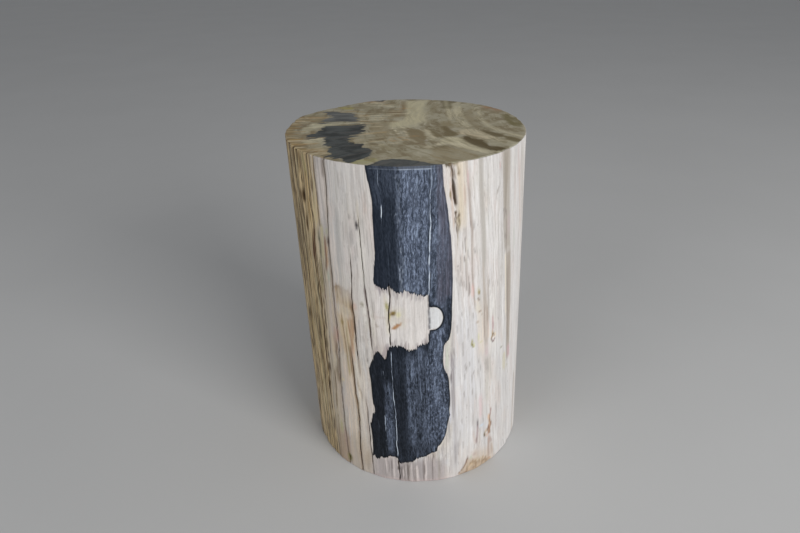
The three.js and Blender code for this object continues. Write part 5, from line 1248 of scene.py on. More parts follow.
SEAT_PATCHES = [  # colour, outline, strength, edge softness
    ((161, 154, 129), [(0.004, 0.30), (0.012, 0.15), (-0.002, 0.08), (-0.04, 0.06), (-0.045, 0.0), (-0.02, -0.02), (0.03, 0.0), (0.058, 0.04), (0.064, 0.12), (0.066, 0.2), (0.075, 0.31)], 0.75, 4.0),
    ((122, 112, 86), [(-0.052, 0.18), (-0.02, 0.19), (0.002, 0.17), (0.0, 0.12), (-0.018, 0.1), (-0.05, 0.085), (-0.06, 0.12)], 0.6, 4.0),
    ((112, 100, 74), [(0.0, -0.03), (0.02, -0.018), (0.035, -0.022), (0.052, -0.05), (0.055, -0.10), (0.052, -0.15), (0.036, -0.168), (0.02, -0.13), (0.002, -0.08)], 0.85, 1.2),
    ((96, 84, 56), [(0.098, 0.0), (0.112, 0.004), (0.122, -0.02), (0.130, -0.05), (0.142, -0.078), (0.132, -0.093), (0.115, -0.097), (0.098, -0.094), (0.104, -0.05)], 0.9, 1.4),
    ((118, 106, 78), [(0.095, 0.055), (0.13, 0.062), (0.145, 0.02), (0.126, 0.0), (0.1, 0.005)], 0.55, 3.0),
    ((78, 66, 40), [(0.146, -0.098), (0.165, -0.096), (0.176, -0.118), (0.198, -0.130), (0.206, -0.15), (0.208, -0.182), (0.228, -0.19), (0.250, -0.204), (0.244, -0.218), (0.222, -0.226), (0.196, -0.214), (0.178, -0.19), (0.164, -0.16), (0.142, -0.14), (0.150, -0.12)], 0.95, 1.4),
    ((88, 77, 50), [(0.206, -0.036), (0.222, -0.052), (0.244, -0.066), (0.258, -0.085), (0.256, -0.106), (0.240, -0.110), (0.222, -0.092), (0.208, -0.066)], 0.92, 1.6),
    ((92, 82, 54), [(0.252, -0.100), (0.272, -0.104), (0.290, -0.124), (0.299, -0.140), (0.290, -0.158), (0.276, -0.150), (0.260, -0.130)], 0.88, 1.6),
    ((96, 88, 64), [(0.112, 0.30), (0.118, 0.25), (0.110, 0.20), (0.132, 0.192), (0.144, 0.20), (0.148, 0.25), (0.170, 0.285), (0.15, 0.31)], 0.85, 2.0),
    ((128, 118, 94), [(0.172, 0.17), (0.200, 0.19), (0.205, 0.12), (0.196, 0.05), (0.205, 0.0), (0.196, -0.03), (0.182, 0.0), (0.172, 0.08)], 0.75, 3.0),
    ((120, 106, 82), [(0.232, 0.225), (0.262, 0.205), (0.29, 0.16), (0.296, 0.135), (0.27, 0.14), (0.248, 0.15), (0.23, 0.18)], 0.7, 3.0),
    ((98, 90, 58), [(0.276, 0.12), (0.300, 0.12), (0.318, 0.075), (0.326, 0.03), (0.318, -0.02), (0.300, -0.015), (0.288, 0.02), (0.282, 0.07)], 0.75, 2.4),
    ((128, 116, 90), [(-0.09, 0.05), (-0.05, 0.05), (-0.045, 0.0), (-0.04, -0.05), (-0.05, -0.11), (-0.065, -0.12), (-0.085, -0.07), (-0.1, -0.02), (-0.1, 0.02)], 0.55, 4.0),
    ((130, 118, 92), [(0.07, -0.20), (0.10, -0.185), (0.14, -0.21), (0.172, -0.245), (0.168, -0.28), (0.13, -0.302), (0.095, -0.302), (0.07, -0.29), (0.06, -0.25)], 0.55, 3.0),
    ((120, 110, 80), [(-0.06, -0.15), (-0.04, -0.16), (-0.02, -0.19), (-0.03, -0.21), (-0.06, -0.2), (-0.07, -0.17)], 0.4, 3.0),
    ((118, 108, 82), [(0.075, 0.22), (0.09, 0.23), (0.095, 0.17), (0.085, 0.11), (0.072, 0.13)], 0.5, 3.0),
    ((150, 146, 108), [(-0.205, 0.235), (-0.17, 0.24), (-0.155, 0.2), (-0.17, 0.19), (-0.2, 0.2)], 0.5, 3.0),
    ((134, 116, 78), [(-0.34, 0.10), (-0.305, 0.09), (-0.296, 0.0), (-0.300, -0.07), (-0.272, -0.14), (-0.245, -0.19), (-0.23, -0.25), (-0.30, -0.24), (-0.36, -0.05)], 0.6, 5.0),
    ((120, 110, 84), [(-0.262, 0.18), (-0.242, 0.175), (-0.232, 0.12), (-0.236, 0.07), (-0.27, 0.06), (-0.30, 0.09), (-0.285, 0.14)], 0.5, 4.0),
    ((169, 161, 131), [(0.005, 0.30), (0.06, 0.30), (0.056, 0.16), (0.05, 0.06), (0.02, 0.02), (-0.04, 0.0), (-0.045, 0.05), (0.0, 0.07), (0.006, 0.16)], 0.55, 2.0),
    ((112, 96, 70), [(-0.05, 0.19), (-0.002, 0.195), (-0.001, 0.12), (-0.03, 0.11), (-0.052, 0.13)], 0.6, 2.0),
    ((116, 100, 72), [(-0.012, 0.30), (0.004, 0.30), (0.002, 0.20), (-0.012, 0.2)], 0.6, 1.4),
    ((176, 168, 140), [(0.10, -0.10), (0.14, -0.105), (0.165, -0.165), (0.20, -0.215), (0.235, -0.235), (0.19, -0.235), (0.15, -0.20), (0.11, -0.165), (0.085, -0.16), (0.09, -0.13)], 0.65, 1.6),
    ((170, 158, 132), [(0.15, -0.03), (0.185, -0.03), (0.21, -0.075), (0.235, -0.115), (0.205, -0.125), (0.165, -0.085), (0.145, -0.075)], 0.7, 2.0),
    ((96, 84, 58), [(0.082, 0.055), (0.096, 0.05), (0.094, 0.0), (0.084, 0.0)], 0.6, 1.4),
    ((104, 92, 64), [(0.064, -0.03), (0.078, -0.04), (0.088, -0.095), (0.08, -0.10), (0.066, -0.07)], 0.65, 1.2),
    ((98, 84, 56), [(-0.086, -0.085), (-0.05, -0.095), (-0.048, -0.13), (-0.074, -0.125), (-0.085, -0.11)], 0.6, 1.4),
    ((150, 146, 96), [(-0.13, -0.27), (-0.098, -0.275), (-0.07, -0.262), (-0.064, -0.282), (-0.09, -0.305), (-0.115, -0.31), (-0.135, -0.30)], 0.55, 2.0),
    ((138, 130, 62), [(-0.215, 0.235), (-0.165, 0.24), (-0.155, 0.205), (-0.18, 0.20)], 0.5, 2.5),
    ((174, 168, 142), [(-0.262, 0.05), (-0.24, 0.045), (-0.16, 0.05), (-0.12, 0.052), (-0.12, 0.042), (-0.17, 0.036), (-0.22, 0.026), (-0.248, 0.0), (-0.262, -0.04), (-0.285, -0.06), (-0.285, 0.0)], 0.6, 2.0),
    ((168, 160, 134), [(-0.255, -0.10), (-0.222, -0.094), (-0.216, -0.12), (-0.212, -0.16), (-0.20, -0.19), (-0.19, -0.222), (-0.22, -0.22), (-0.24, -0.17), (-0.262, -0.13)], 0.55, 2.5),
]
for color, outline, strength, soft in SEAT_PATCHES:
    seat_patch(color, outline, strength, soft)
for color, at, width, strength in [
    ((104, 92, 66), [(0.166, 0.14), (0.172, 0.06), (0.19, -0.01), (0.212, -0.055)], 2.6, 0.5),
    ((108, 98, 72), [(0.205, 0.05), (0.212, -0.0), (0.236, -0.05)], 1.8, 0.4),
    ((116, 104, 78), [(0.23, 0.10), (0.236, 0.03), (0.262, -0.04), (0.30, -0.085)], 2.4, 0.45),
    ((100, 88, 60), [(0.066, 0.0), (0.078, -0.05), (0.095, -0.1), (0.118, -0.14)], 2.2, 0.55),
    ((112, 100, 72), [(0.074, 0.05), (0.09, 0.0), (0.097, -0.03)], 2.0, 0.4),
    ((118, 106, 80), [(-0.03, -0.04), (-0.02, -0.08), (0.0, -0.12), (0.03, -0.165), (0.05, -0.17)], 1.8, 0.6),
    ((120, 108, 82), [(-0.048, -0.03), (-0.036, -0.08), (-0.02, -0.12), (0.0, -0.15)], 1.8, 0.5),
    ((176, 168, 144), [(-0.012, -0.04), (-0.004, -0.08), (0.018, -0.13), (0.04, -0.16)], 1.4, 0.55),
    ((174, 166, 140), [(0.056, -0.03), (0.062, -0.08), (0.075, -0.12), (0.09, -0.13)], 2.4, 0.55),
    ((178, 170, 146), [(0.05, -0.19), (0.09, -0.16), (0.14, -0.165), (0.18, -0.21), (0.2, -0.235)], 4.0, 0.5),
    ((170, 162, 136), [(0.155, 0.26), (0.15, 0.12), (0.16, 0.02), (0.185, -0.06), (0.235, -0.13), (0.275, -0.17)], 4.2, 0.55),
    ((168, 160, 134), [(0.215, 0.2), (0.214, 0.08), (0.228, 0.0), (0.262, -0.06), (0.306, -0.11)], 3.4, 0.5),
    ((96, 86, 60), [(0.082, -0.183), (0.094, -0.18), (0.098, -0.19)], 2.6, 0.6),
    ((100, 90, 64), [(-0.004, -0.208), (0.008, -0.212)], 2.4, 0.6),
    ((186, 178, 152), [(-0.028, -0.03), (-0.016, -0.07), (-0.004, -0.11), (0.014, -0.145)], 1.0, 0.75),
    ((184, 176, 150), [(-0.042, -0.05), (-0.028, -0.09), (-0.01, -0.13)], 1.0, 0.65),
    ((106, 92, 64), [(-0.022, -0.035), (-0.010, -0.08), (0.006, -0.12), (0.03, -0.155)], 0.9, 0.65),
    ((104, 90, 62), [(-0.036, -0.04), (-0.024, -0.08), (-0.006, -0.125)], 0.9, 0.6),
    ((186, 176, 150), [(-0.006, -0.03), (0.004, -0.06), (0.006, -0.09)], 0.9, 0.6),
    ((92, 74, 50), [(0.004, -0.11), (0.014, -0.135), (0.034, -0.155), (0.052, -0.17)], 1.1, 0.75),
    ((180, 170, 144), [(0.06, -0.03), (0.066, -0.07), (0.08, -0.115)], 1.3, 0.65),
    ((90, 76, 50), [(0.084, -0.0), (0.09, -0.04), (0.096, -0.08)], 1.2, 0.6),
    ((176, 168, 140), [(0.13, 0.30), (0.128, 0.22), (0.132, 0.1), (0.146, 0.0)], 2.2, 0.5),
    ((178, 170, 142), [(0.168, 0.28), (0.166, 0.16), (0.17, 0.05), (0.18, 0.0)], 1.8, 0.5),
    ((90, 80, 54), [(0.112, 0.215), (0.14, 0.215)], 1.6, 0.6),
    ((92, 84, 56), [(0.208, 0.06), (0.222, 0.058)], 1.4, 0.6),
    ((96, 84, 60), [(0.155, 0.30), (0.16, 0.285)], 2.4, 0.7),
    ((150, 118, 72), [(-0.205, 0.262), (-0.15, 0.292), (-0.10, 0.312)], 3.4, 0.55),
    ((152, 116, 78), [(-0.128, 0.30), (-0.10, 0.30), (-0.07, 0.296)], 4.0, 0.5),
    ((146, 104, 78), [(0.24, 0.216), (0.262, 0.196), (0.282, 0.168)], 2.2, 0.65),
    ((196, 188, 160), [(0.10, -0.31), (0.16, -0.285), (0.21, -0.25), (0.25, -0.21), (0.285, -0.16)], 1.6, 0.45),
]:
    seat_stroke(color, at, width, strength)
r4 = np.random.default_rng(58)
rim_colors = [(140, 116, 76), (112, 92, 60), (166, 150, 118), (126, 100, 68), (178, 166, 138), (104, 90, 64)]
for n in range(64):  # the flank's furrows run out over the rim as short combs
    a = math.radians(158.0 + 74.0 * (n + r4.uniform(0.1, 0.9)) / 64)
    rim = 0.3285
    x, y = rim * math.cos(a) * 1.01, rim * math.sin(a) * 1.01
    length = r4.uniform(0.02, 0.075)
    slope = r4.uniform(-0.12, 0.12)
    seat_stroke(rim_colors[int(r4.integers(0, 6))], [(x, y), (x + length, y + slope * length)], r4.uniform(0.9, 1.7), r4.uniform(0.6, 0.95))
for n in range(90):  # fine rays over the left half
    x, y = r4.uniform(-0.31, -0.0), r4.uniform(-0.28, 0.29)
    if math.hypot(x, y) > 0.31:
        continue
    dx, dy = x - 0.9, y - 0.107
    k = r4.uniform(0.012, 0.04) / math.hypot(dx, dy)
    seat_stroke([(104, 88, 60), (186, 176, 148), (140, 112, 74), (176, 166, 138), (112, 98, 74)][n % 5], [(x - dx * k, y - dy * k), (x + dx * k, y + dy * k)], r4.uniform(0.8, 1.3), r4.uniform(0.5, 0.85))
r3 = np.random.default_rng(91)
for n in range(30):  # short rays on the left, as the wood's own
    x, y = r3.uniform(-0.32, -0.06), r3.uniform(-0.27, 0.27)
    if math.hypot(x, y) > 0.315:
        continue
    dx, dy = x - 0.47, y - 0.107
    k = r3.uniform(0.02, 0.06) / math.hypot(dx, dy)
    seat_stroke([(120, 106, 78), (174, 166, 140), (150, 122, 80)][n % 3], [(x - dx * k, y - dy * k), (x + dx * k, y + dy * k)], r3.uniform(1.3, 2.4), r3.uniform(0.3, 0.6))
for n in range(26):  # patches under the foot
    a, q = r3.uniform(0, 2 * math.pi), r3.uniform(0.03, 0.29)
    x, y = q * math.cos(a), q * math.sin(a)
    dx, dy = -(y - 0.107), x - 0.47
    k = r3.uniform(0.02, 0.09) / math.hypot(dx, dy)
    seat_stroke([(120, 108, 80), (168, 160, 136), (104, 92, 66)][n % 3], [(x - dx * k, y - dy * k), (x + dx * k, y + dy * k)], r3.uniform(4, 11), r3.uniform(0.35, 0.7), True)

ends = is_end
pith = np.array([0.47, 0.107]) * TALL
end_xy = np.where(is_foot[:, None], foot_xy * TALL, seat_xy * TALL)
from_pith = end_xy - pith
rho = np.hypot(from_pith[:, 0], from_pith[:, 1])
turn = np.arctan2(-from_pith[:, 1], -from_pith[:, 0])
ring_co = np.column_stack([rho, turn * 190.0, np.where(is_foot, 300.0, 0.0)])
flat_co = np.column_stack([end_xy, np.where(is_foot, 300.0, 0.0)])
rim_u = np.radians(v_u)
grain_co = np.column_stack([R0 * np.cos(rim_u), R0 * np.sin(rim_u), v_t * TALL])

# ---------------------------------------------------------------------------
# The mesh
# ---------------------------------------------------------------------------
mesh = bpy.data.meshes.new("petrified_log_stone")
n_q, n_t = len(quads), len(tris)
mesh.vertices.add(len(P))
mesh.vertices.foreach_set("co", (P * MM).astype(np.float32).ravel())
mesh.loops.add(4 * n_q + 3 * n_t)
mesh.loops.foreach_set("vertex_index", np.concatenate([quads.ravel(), tris.ravel()]).astype(np.int32))
mesh.polygons.add(n_q + n_t)
starts = np.concatenate([np.arange(n_q) * 4, 4 * n_q + np.arange(n_t) * 3]).astype(np.int32)
mesh.polygons.foreach_set("loop_start", starts)
mesh.polygons.foreach_set("use_smooth", np.ones(n_q + n_t, bool))
mesh.update(calc_edges=True)
mesh.validate()

loop_v = np.concatenate([quads.ravel(), tris.ravel()])
uv = np.zeros((len(loop_v), 2))
seam_col = int(np.argmin(np.abs(wrap(TH[0] - 90.0))))
order = (np.arange(COLS) - seam_col) % COLS
along = np.zeros(COLS + 1)
mid_row = TH[ROWS // 2]
steps = np.diff(np.concatenate([np.roll(mid_row, -seam_col), [mid_row[seam_col] + 360.0]])) % 360.0
along[1:] = np.cumsum(steps) / np.sum(steps)
nside = side_quads * 4
lv = loop_v[:nside]
col, row = order[lv % COLS], lv // COLS
corner = np.arange(nside) % 4
col_f = np.where((corner == 1) | (corner == 2), np.where(col == 0, COLS, col), col)
arc_len = np.concatenate([[0], np.cumsum(np.hypot(np.diff(T[:, 0]) * TALL, np.diff(inset[:, 0] * 0 + np.where(np.arange(ROWS) < nf, FOOT_ARRIS * np.sin(np.concatenate([FOOT_PHI, np.zeros(ROWS - nf)])) ** 2, np.where(np.arange(ROWS) >= nf + nm, SEAT_ARRIS * (1 - np.cos(np.concatenate([np.zeros(nf + nm), SEAT_PHI]))), 0)))))])
uv[:nside, 0] = 0.004 + 0.992 * along[col_f]
uv[:nside, 1] = 0.006 + 0.474 * (arc_len[row] / arc_len[-1])
lv = loop_v[nside:]
at_seat = P[lv, 2] > (SHIFT_Z + TALL / 2)
centre = np.where(at_seat[:, None], seat_centre, foot_centre)
size = np.where(at_seat, 0.236 / TOP_R, 0.236 / FOOT_R)
xy = (P[lv, :2] - centre) * size[:, None]
uv[nside:, 0] = np.where(at_seat, 0.25, 0.75) + xy[:, 0]
uv[nside:, 1] = 0.745 + xy[:, 1] * np.where(at_seat, 1.0, -1.0)
layer = mesh.uv_layers.new(name="OFBake")
layer.data.foreach_set("uv", uv.astype(np.float32).ravel())


def put(name, kind, data):
    a = mesh.attributes.new(name, kind, "POINT")
    key = {"FLOAT": "value", "FLOAT_VECTOR": "vector", "FLOAT_COLOR": "color"}[kind]
    a.data.foreach_set(key, np.ascontiguousarray(data, np.float32).ravel())


put("grain", "FLOAT_VECTOR", grain_co)
put("ring", "FLOAT_VECTOR", ring_co)
put("flat", "FLOAT_VECTOR", flat_co)
put("band", "FLOAT", band)
put("lobe", "FLOAT", lobe)
put("comb", "FLOAT", comb)
put("slate_and_sheen", "FLOAT", slate_and_sheen)
put("dark", "FLOAT", np.clip(v_dark, 0, 1))
# edge_x: the span, 266.5 to 280.4 degrees, of the painted sheen and highlight on the band's top edge
edge_x = ramp(wrap(v_th - 266.5) * ARC, -3.0, 4.0) * ramp(wrap(280.4 - v_th) * ARC, -1.0, 2.0)
# painted highlight: a faint arc that carries the edge's highlight on to the left, just under the top
arc_in = (wrap(v_th - 262.4) * ARC / 9.0) ** 2 + ((v_t - 0.974) * TALL / 6.0) ** 2
v_light = np.maximum(v_light, side * (v_t > 0.974) * 0.34 * np.exp(-(((arc_in - 1.0) / 0.3) ** 2)))
v_light = np.maximum(v_light, side * 0.55 * np.exp(-((wrap(v_th - 260.6) * ARC / 1.3) ** 2) - ((v_t - 0.873) * TALL / 1.4) ** 2))
v_light = np.maximum(v_light, side * 0.62 * np.exp(-((wrap(v_th - 279.3) * ARC / 1.6) ** 2) - ((v_t - 0.922) * TALL / 1.1) ** 2))


def glow(a, t0, t1, width, k, drift=0.0):
    """A light hair in the dark stone, from t0 down to t1."""
    global v_light
    x = wrap(v_th - (a + drift * (t0 - v_t) / max(t0 - t1, 1e-6))) * ARC
    over = np.maximum(np.maximum(t1 - v_t, v_t - t0), 0) * TALL
    v_light = np.maximum(v_light, side * k * np.exp(-((x / width) ** 2) - (over / 2.0) ** 2))


r7 = np.random.default_rng(41)
for n in range(96):  # a braided column of fine light hairs left of the slate
    a = r7.normal(266.4, 0.95)
    t = r7.uniform(0.665, 0.985)
    k = r7.uniform(0.22, 0.46) * (1.0 if t > 0.80 else 1.15)
    glow(a, t, t - r7.uniform(0.008, 0.05), 0.62, k, r7.uniform(-0.5, 0.5))
for n in range(40):
    a = r7.uniform(267.0, 278.0)
    t = r7.uniform(0.68, 0.985)
    glow(a, t, t - r7.uniform(0.003, 0.014), r7.uniform(0.55, 0.75), r7.uniform(0.25, 0.48), r7.uniform(-0.3, 0.3))
for n in range(46):
    a = r7.uniform(266.5, 285.0)
    t = r7.uniform(0.12, 0.47)
    glow(a, t, t - r7.uniform(0.003, 0.02), r7.uniform(0.6, 0.9), r7.uniform(0.25, 0.5), r7.uniform(-0.3, 0.3))
for a, t0, t1, k, drift in (
    (255.0, 0.412, 0.388, 0.5, 0.7), (256.2, 0.40, 0.39, 0.35, -0.4), (254.6, 0.255, 0.20, 0.72, -0.1), (254.4, 0.20, 0.11, 0.42, -0.5), (257.2, 0.24, 0.12, 0.36, 0.3),
    (258.4, 0.40, 0.30, 0.32, 0.4), (258.9, 0.30, 0.22, 0.40, 0.2), (270.6, 0.200, 0.194, 0.75, 0.0), (283.6, 0.20, 0.192, 0.6, 0.1), (274.2, 0.245, 0.235, 0.5, 0.0),
    (259.0, 0.838, 0.80, 0.30, 0.2), (258.9, 0.86, 0.845, 0.34, 0.0), (262.6, 0.70, 0.69, 0.4, 0.0), (256.4, 0.755, 0.745, 0.34, 0.0), (263.8, 0.755, 0.735, 0.3, 0.1),
    (264.4, 0.99, 0.93, 0.34, 1.2), (263.2, 0.975, 0.94, 0.3, 1.4), (265.4, 0.93, 0.88, 0.42, 0.6), (274.2, 0.955, 0.945, 0.6, 0.0), (273.6, 0.915, 0.905, 0.5, 0.0),
    (261.6, 0.965, 0.96, 0.3, 0.0), (261.8, 0.945, 0.94, 0.28, 0.0),
):
    glow(a, t0, t1, 0.75, k, drift)
put("light", "FLOAT", np.clip(v_light, 0, 1))
# rim: where the band's top edge gets its painted sheen and highlight line; faint from 254.5 degrees on
put("rim", "FLOAT", side * np.maximum(edge_x, 0.22 * ramp(wrap(v_th - 254.5) * ARC, -1.0, 3.0) * ramp(wrap(284.0 - v_th) * ARC, -1.0, 3.0)))
calm = ramp(wrap(v_th - 287.0) * ARC, -2.0, 6.0) * ramp(wrap(346.0 - v_th) * ARC, -10.0, 20.0) * (0.44 + 0.42 * ramp(v_t, 0.62, 0.42))
calm = np.maximum(calm, 0.42 * ramp(wrap(v_th - 232.0) * ARC, -4.0, 4.0) * ramp(wrap(256.0 - v_th) * ARC, -2.0, 3.0) * ramp(v_t, 0.60, 0.66))
put("calm", "FLOAT", side * calm)
put("endgrain", "FLOAT", v_end)
put("rustic", "FLOAT", rustic_of(v_th, v_t))
put("stain", "FLOAT_COLOR", np.column_stack([stain_rgb, stain_a]))

log = bpy.data.objects.new("petrified_log_stone", mesh)
bpy.context.scene.collection.objects.link(log)


# ---------------------------------------------------------------------------
# The stone's material
# ---------------------------------------------------------------------------
class Tree:
    """Short names for the shader nodes used here."""

    def __init__(self, tree):
        self.tree = tree

    def new(self, kind, **props):
        n = self.tree.nodes.new(kind)
        for k, v in props.items():
            setattr(n, k, v)
        return n

    def feed(self, value, socket):
        if isinstance(value, bpy.types.NodeSocket):
            self.tree.links.new(value, socket)
        elif isinstance(value, (tuple, list, np.ndarray)):
            value = [float(v) for v in value]
            socket.default_value = value + [1.0] if len(socket.default_value) == 4 and len(value) == 3 else value
        else:
            socket.default_value = value

    def attr(self, name, out="Fac"):
        return self.new("ShaderNodeAttribute", attribute_name=name).outputs[out]

    def math(self, op, a, b=0.0, c=0.0, clamp=False):
        n = self.new("ShaderNodeMath", operation=op, use_clamp=clamp)
        for v, s in zip((a, b, c), n.inputs):
            self.feed(v, s)
        return n.outputs[0]

    def add(self, a, b):
        return self.math("ADD", a, b)

    def mul(self, a, b, clamp=False):
        return self.math("MULTIPLY", a, b, clamp=clamp)

    def scale(self, v, s):
        n = self.new("ShaderNodeVectorMath", operation="MULTIPLY")
        self.feed(v, n.inputs[0])
        self.feed(s, n.inputs[1])
        return n.outputs[0]

    def shift(self, v, s):
        n = self.new("ShaderNodeVectorMath", operation="ADD")
        self.feed(v, n.inputs[0])
        self.feed(s, n.inputs[1])
        return n.outputs[0]

    def noise(self, v, detail=2.0, rough=0.5, distort=0.0, out="Fac"):
        n = self.new("ShaderNodeTexNoise")
        self.feed(v, n.inputs["Vector"])
        n.inputs["Scale"].default_value = 1.0
        n.inputs["Detail"].default_value = detail
        n.inputs["Roughness"].default_value = rough
        n.inputs["Distortion"].default_value = distort
        return n.outputs[out]

    def ramp(self, x, a, b, c=0.0, d=1.0):
        n = self.new("ShaderNodeMapRange", interpolation_type="SMOOTHSTEP")
        for v, s in zip((x, a, b, c, d), n.inputs):
            self.feed(v, s)
        return n.outputs[0]

    def mix(self, f, a, b):
        n = self.new("ShaderNodeMix", data_type="RGBA")
        self.feed(f, n.inputs[0])
        self.feed(a, n.inputs[6])
        self.feed(b, n.inputs[7])
        return n.outputs[2]

    def bright(self, color, factor):
        """The colour times a number."""
        n = self.new("ShaderNodeVectorMath", operation="SCALE")
        self.feed(color, n.inputs[0])
        self.feed(factor, n.inputs["Scale"])
        return n.outputs[0]


END_PALE, END_LIGHT, END_MID = lin((204, 196, 170)), lin((190, 182, 155)), lin((172, 161, 132))
END_BROWN, END_BLACK = lin((142, 127, 94)), lin((70, 73, 71))

stone = bpy.data.materials.new("petrified_wood")
stone.use_nodes = True
k = Tree(stone.node_tree)
stone.node_tree.nodes.clear()
output = k.new("ShaderNodeOutputMaterial")
shader = k.new("ShaderNodeBsdfPrincipled")
stone.node_tree.links.new(shader.outputs[0], output.inputs[0])

grain = k.attr("grain", "Vector")
rust = k.attr("rustic")
stain = k.new("ShaderNodeAttribute", attribute_name="stain")
band_in = k.attr("band")
lobe_in = k.attr("lobe")
comb = k.attr("comb")
dark = k.attr("dark")


def drawn(offset, across, along, detail=2.0, rough=0.55):
    """Noise drawn out along the grain; both lengths in mm."""
    return k.noise(k.scale(k.shift(grain, offset), (1 / across, 1 / across, 1 / along)), detail, rough)


wide = drawn((0, 0, 0), 60, 320)
patchy = drawn((0, 0, 0), 26, 60, 3.0, 0.6)
veil = drawn((31, 7, 0), 7.5, 260)
midn = drawn((0, 0, 0), 7.0, 170, 3.0)
fine = drawn((0, 0, 0), 2.6, 70, 3.0, 0.6)
thin = drawn((8, 51, 4), 1.5, 34, 2.0, 0.6)
hair = drawn((0, 0, 0), 0.9, 20, 2.0, 0.6)
flecks = drawn((5, 90, 13), 1.7, 12, 2.0, 0.6)
crumb = drawn((3, 3, 60), 1.7, 3.6, 3.0, 0.65)


def vein(noise, half):
    """Long thin lines along the grain, where the noise passes through its middle."""
    return k.mul(k.ramp(noise, 0.5 - half, 0.5 - half * 0.25), k.ramp(noise, 0.5 + half, 0.5 + half * 0.25))


lines = vein(drawn((77, 3, 0), 8.5, 420, 2.0, 0.35), 0.030)
hairlines = vein(drawn((5, 66, 0), 4.2, 170, 2.0, 0.4), 0.042)
furrows = vein(drawn((33, 12, 0), 6.0, 300, 2.0, 0.4), 0.050)
wisps = vein(drawn((71, 5, 0), 3.0, 120, 2.0, 0.45), 0.055)
cuts = vein(drawn((12, 80, 0), 4.6, 210, 2.0, 0.4), 0.054)
gate = drawn((61, 19, 7), 12, 46, 2.0, 0.6)
up = k.new("ShaderNodeSeparateXYZ")
k.feed(grain, up.inputs[0])
up = up.outputs[2]
tint_a = drawn((100, 0, 0), 15, 55)
tint_b = drawn((0, 100, 0), 11, 40)
tint_c = drawn((0, 0, 400), 18, 70)

# fresh pale stone, with faint rose, blue and green casts
cream = k.mix(k.ramp(wide, 0.36, 0.64), lin((211, 203, 196)), lin((205, 202, 199)))
cream = k.mix(k.mul(k.ramp(tint_a, 0.50, 0.66), 0.55), cream, lin((210, 193, 190)))
cream = k.mix(k.mul(k.ramp(tint_b, 0.52, 0.66), 0.50), cream, lin((192, 196, 200)))
cream = k.mix(k.mul(k.ramp(tint_c, 0.52, 0.68), 0.45), cream, lin((204, 201, 180)))
cream = k.mix(k.mul(k.ramp(patchy, 0.5, 0.72), 0.35), cream, lin((214, 197, 180)))
cream = k.mix(k.mul(k.ramp(veil, 0.50, 0.60), 0.60), cream, lin((178, 172, 167)))
cream = k.mix(k.mul(k.ramp(fine, 0.45, 0.34), 0.60), cream, lin((228, 225, 220)))
cream = k.mix(k.mul(k.mul(k.ramp(fine, 0.55, 0.64), k.ramp(patchy, 0.40, 0.56)), 0.62), cream, lin((156, 146, 138)))
cream = k.mix(k.mul(k.ramp(thin, 0.60, 0.70), 0.60), cream, lin((144, 132, 122)))
cream = k.mix(k.mul(k.ramp(thin, 0.40, 0.31), 0.50), cream, lin((230, 227, 223)))
cream = k.mix(k.mul(k.mul(k.ramp(hair, 0.60, 0.70), k.ramp(patchy, 0.45, 0.58)), 0.55), cream, lin((132, 122, 114)))

cream = k.mix(k.mul(k.mul(lines, k.ramp(gate, 0.46, 0.56)), 0.55), cream, lin((142, 131, 121)))
cream = k.mix(k.mul(k.mul(hairlines, k.ramp(gate, 0.52, 0.42)), 0.42), cream, lin((150, 140, 132)))

# some of the pale stone is smoother
calm = k.attr("calm")
cream = k.mix(k.mul(calm, 0.85), cream, k.mix(k.ramp(tint_a, 0.44, 0.62), lin((206, 203, 202)), lin((211, 202, 196))))

# weathered ochre stone
ochre = k.mix(k.ramp(midn, 0.40, 0.58), lin((178, 156, 116)), lin((208, 192, 158)))
ochre = k.mix(k.mul(k.ramp(tint_a, 0.48, 0.62), 0.5), ochre, lin((150, 140, 98)))
ochre = k.mix(k.mul(k.ramp(tint_b, 0.52, 0.64), 0.5), ochre, lin((176, 146, 118)))
ochre = k.mix(k.mul(k.ramp(fine, 0.54, 0.62), 0.44), ochre, lin((114, 92, 60)))
ochre = k.mix(k.mul(k.ramp(veil, 0.53, 0.61), 0.34), ochre, lin((122, 99, 66)))
ochre = k.mix(k.mul(k.ramp(fine, 0.45, 0.36), 0.72), ochre, lin((204, 190, 160)))
ochre = k.mix(k.mul(k.ramp(thin, 0.58, 0.66), 0.75), ochre, lin((84, 64, 38)))
ochre = k.mix(k.mul(lines, k.ramp(gate, 0.40, 0.52, 0.25, 0.95)), ochre, lin((74, 54, 32)))
ochre = k.mix(k.mul(hairlines, k.ramp(gate, 0.60, 0.48, 0.2, 0.8)), ochre, lin((92, 70, 44)))
cream = k.mix(k.mul(k.ramp(k.add(rust, k.mul(k.add(midn, -0.5), 0.9)), 0.25, 0.75), 0.80), cream, ochre)
ticks = k.mul(k.ramp(flecks, 0.62, 0.70), k.ramp(patchy, 0.40, 0.55, 0.35, 1.0))
cream = k.mix(k.mul(ticks, k.ramp(rust, 0.0, 1.0, 0.55, 0.75)), cream, k.mix(rust, lin((124, 114, 108)), lin((92, 70, 44))))

# stains: the same colours gather into threads where a stain is thin
alpha = stain.outputs["Alpha"]
threads = k.ramp(k.add(k.mul(fine, 0.5), k.mul(thin, 0.5)), 0.38, 0.62)
swing = k.mul(k.mul(alpha, k.math("SUBTRACT", 1.0, alpha)), k.mul(k.add(threads, -0.5), 3.4))
amount = k.math("ADD", alpha, swing, clamp=True)
cream = k.mix(k.mul(amount, 0.94), cream, stain.outputs["Color"])
tone = k.add(0.50, k.add(k.mul(midn, 0.14), k.add(k.mul(fine, 0.28), k.add(k.mul(thin, 0.30), k.mul(crumb, 0.30)))))
tone = k.add(k.mul(tone, k.add(1.0, k.mul(calm, -0.6))), k.mul(calm, 0.606))
cream = k.bright(cream, tone)
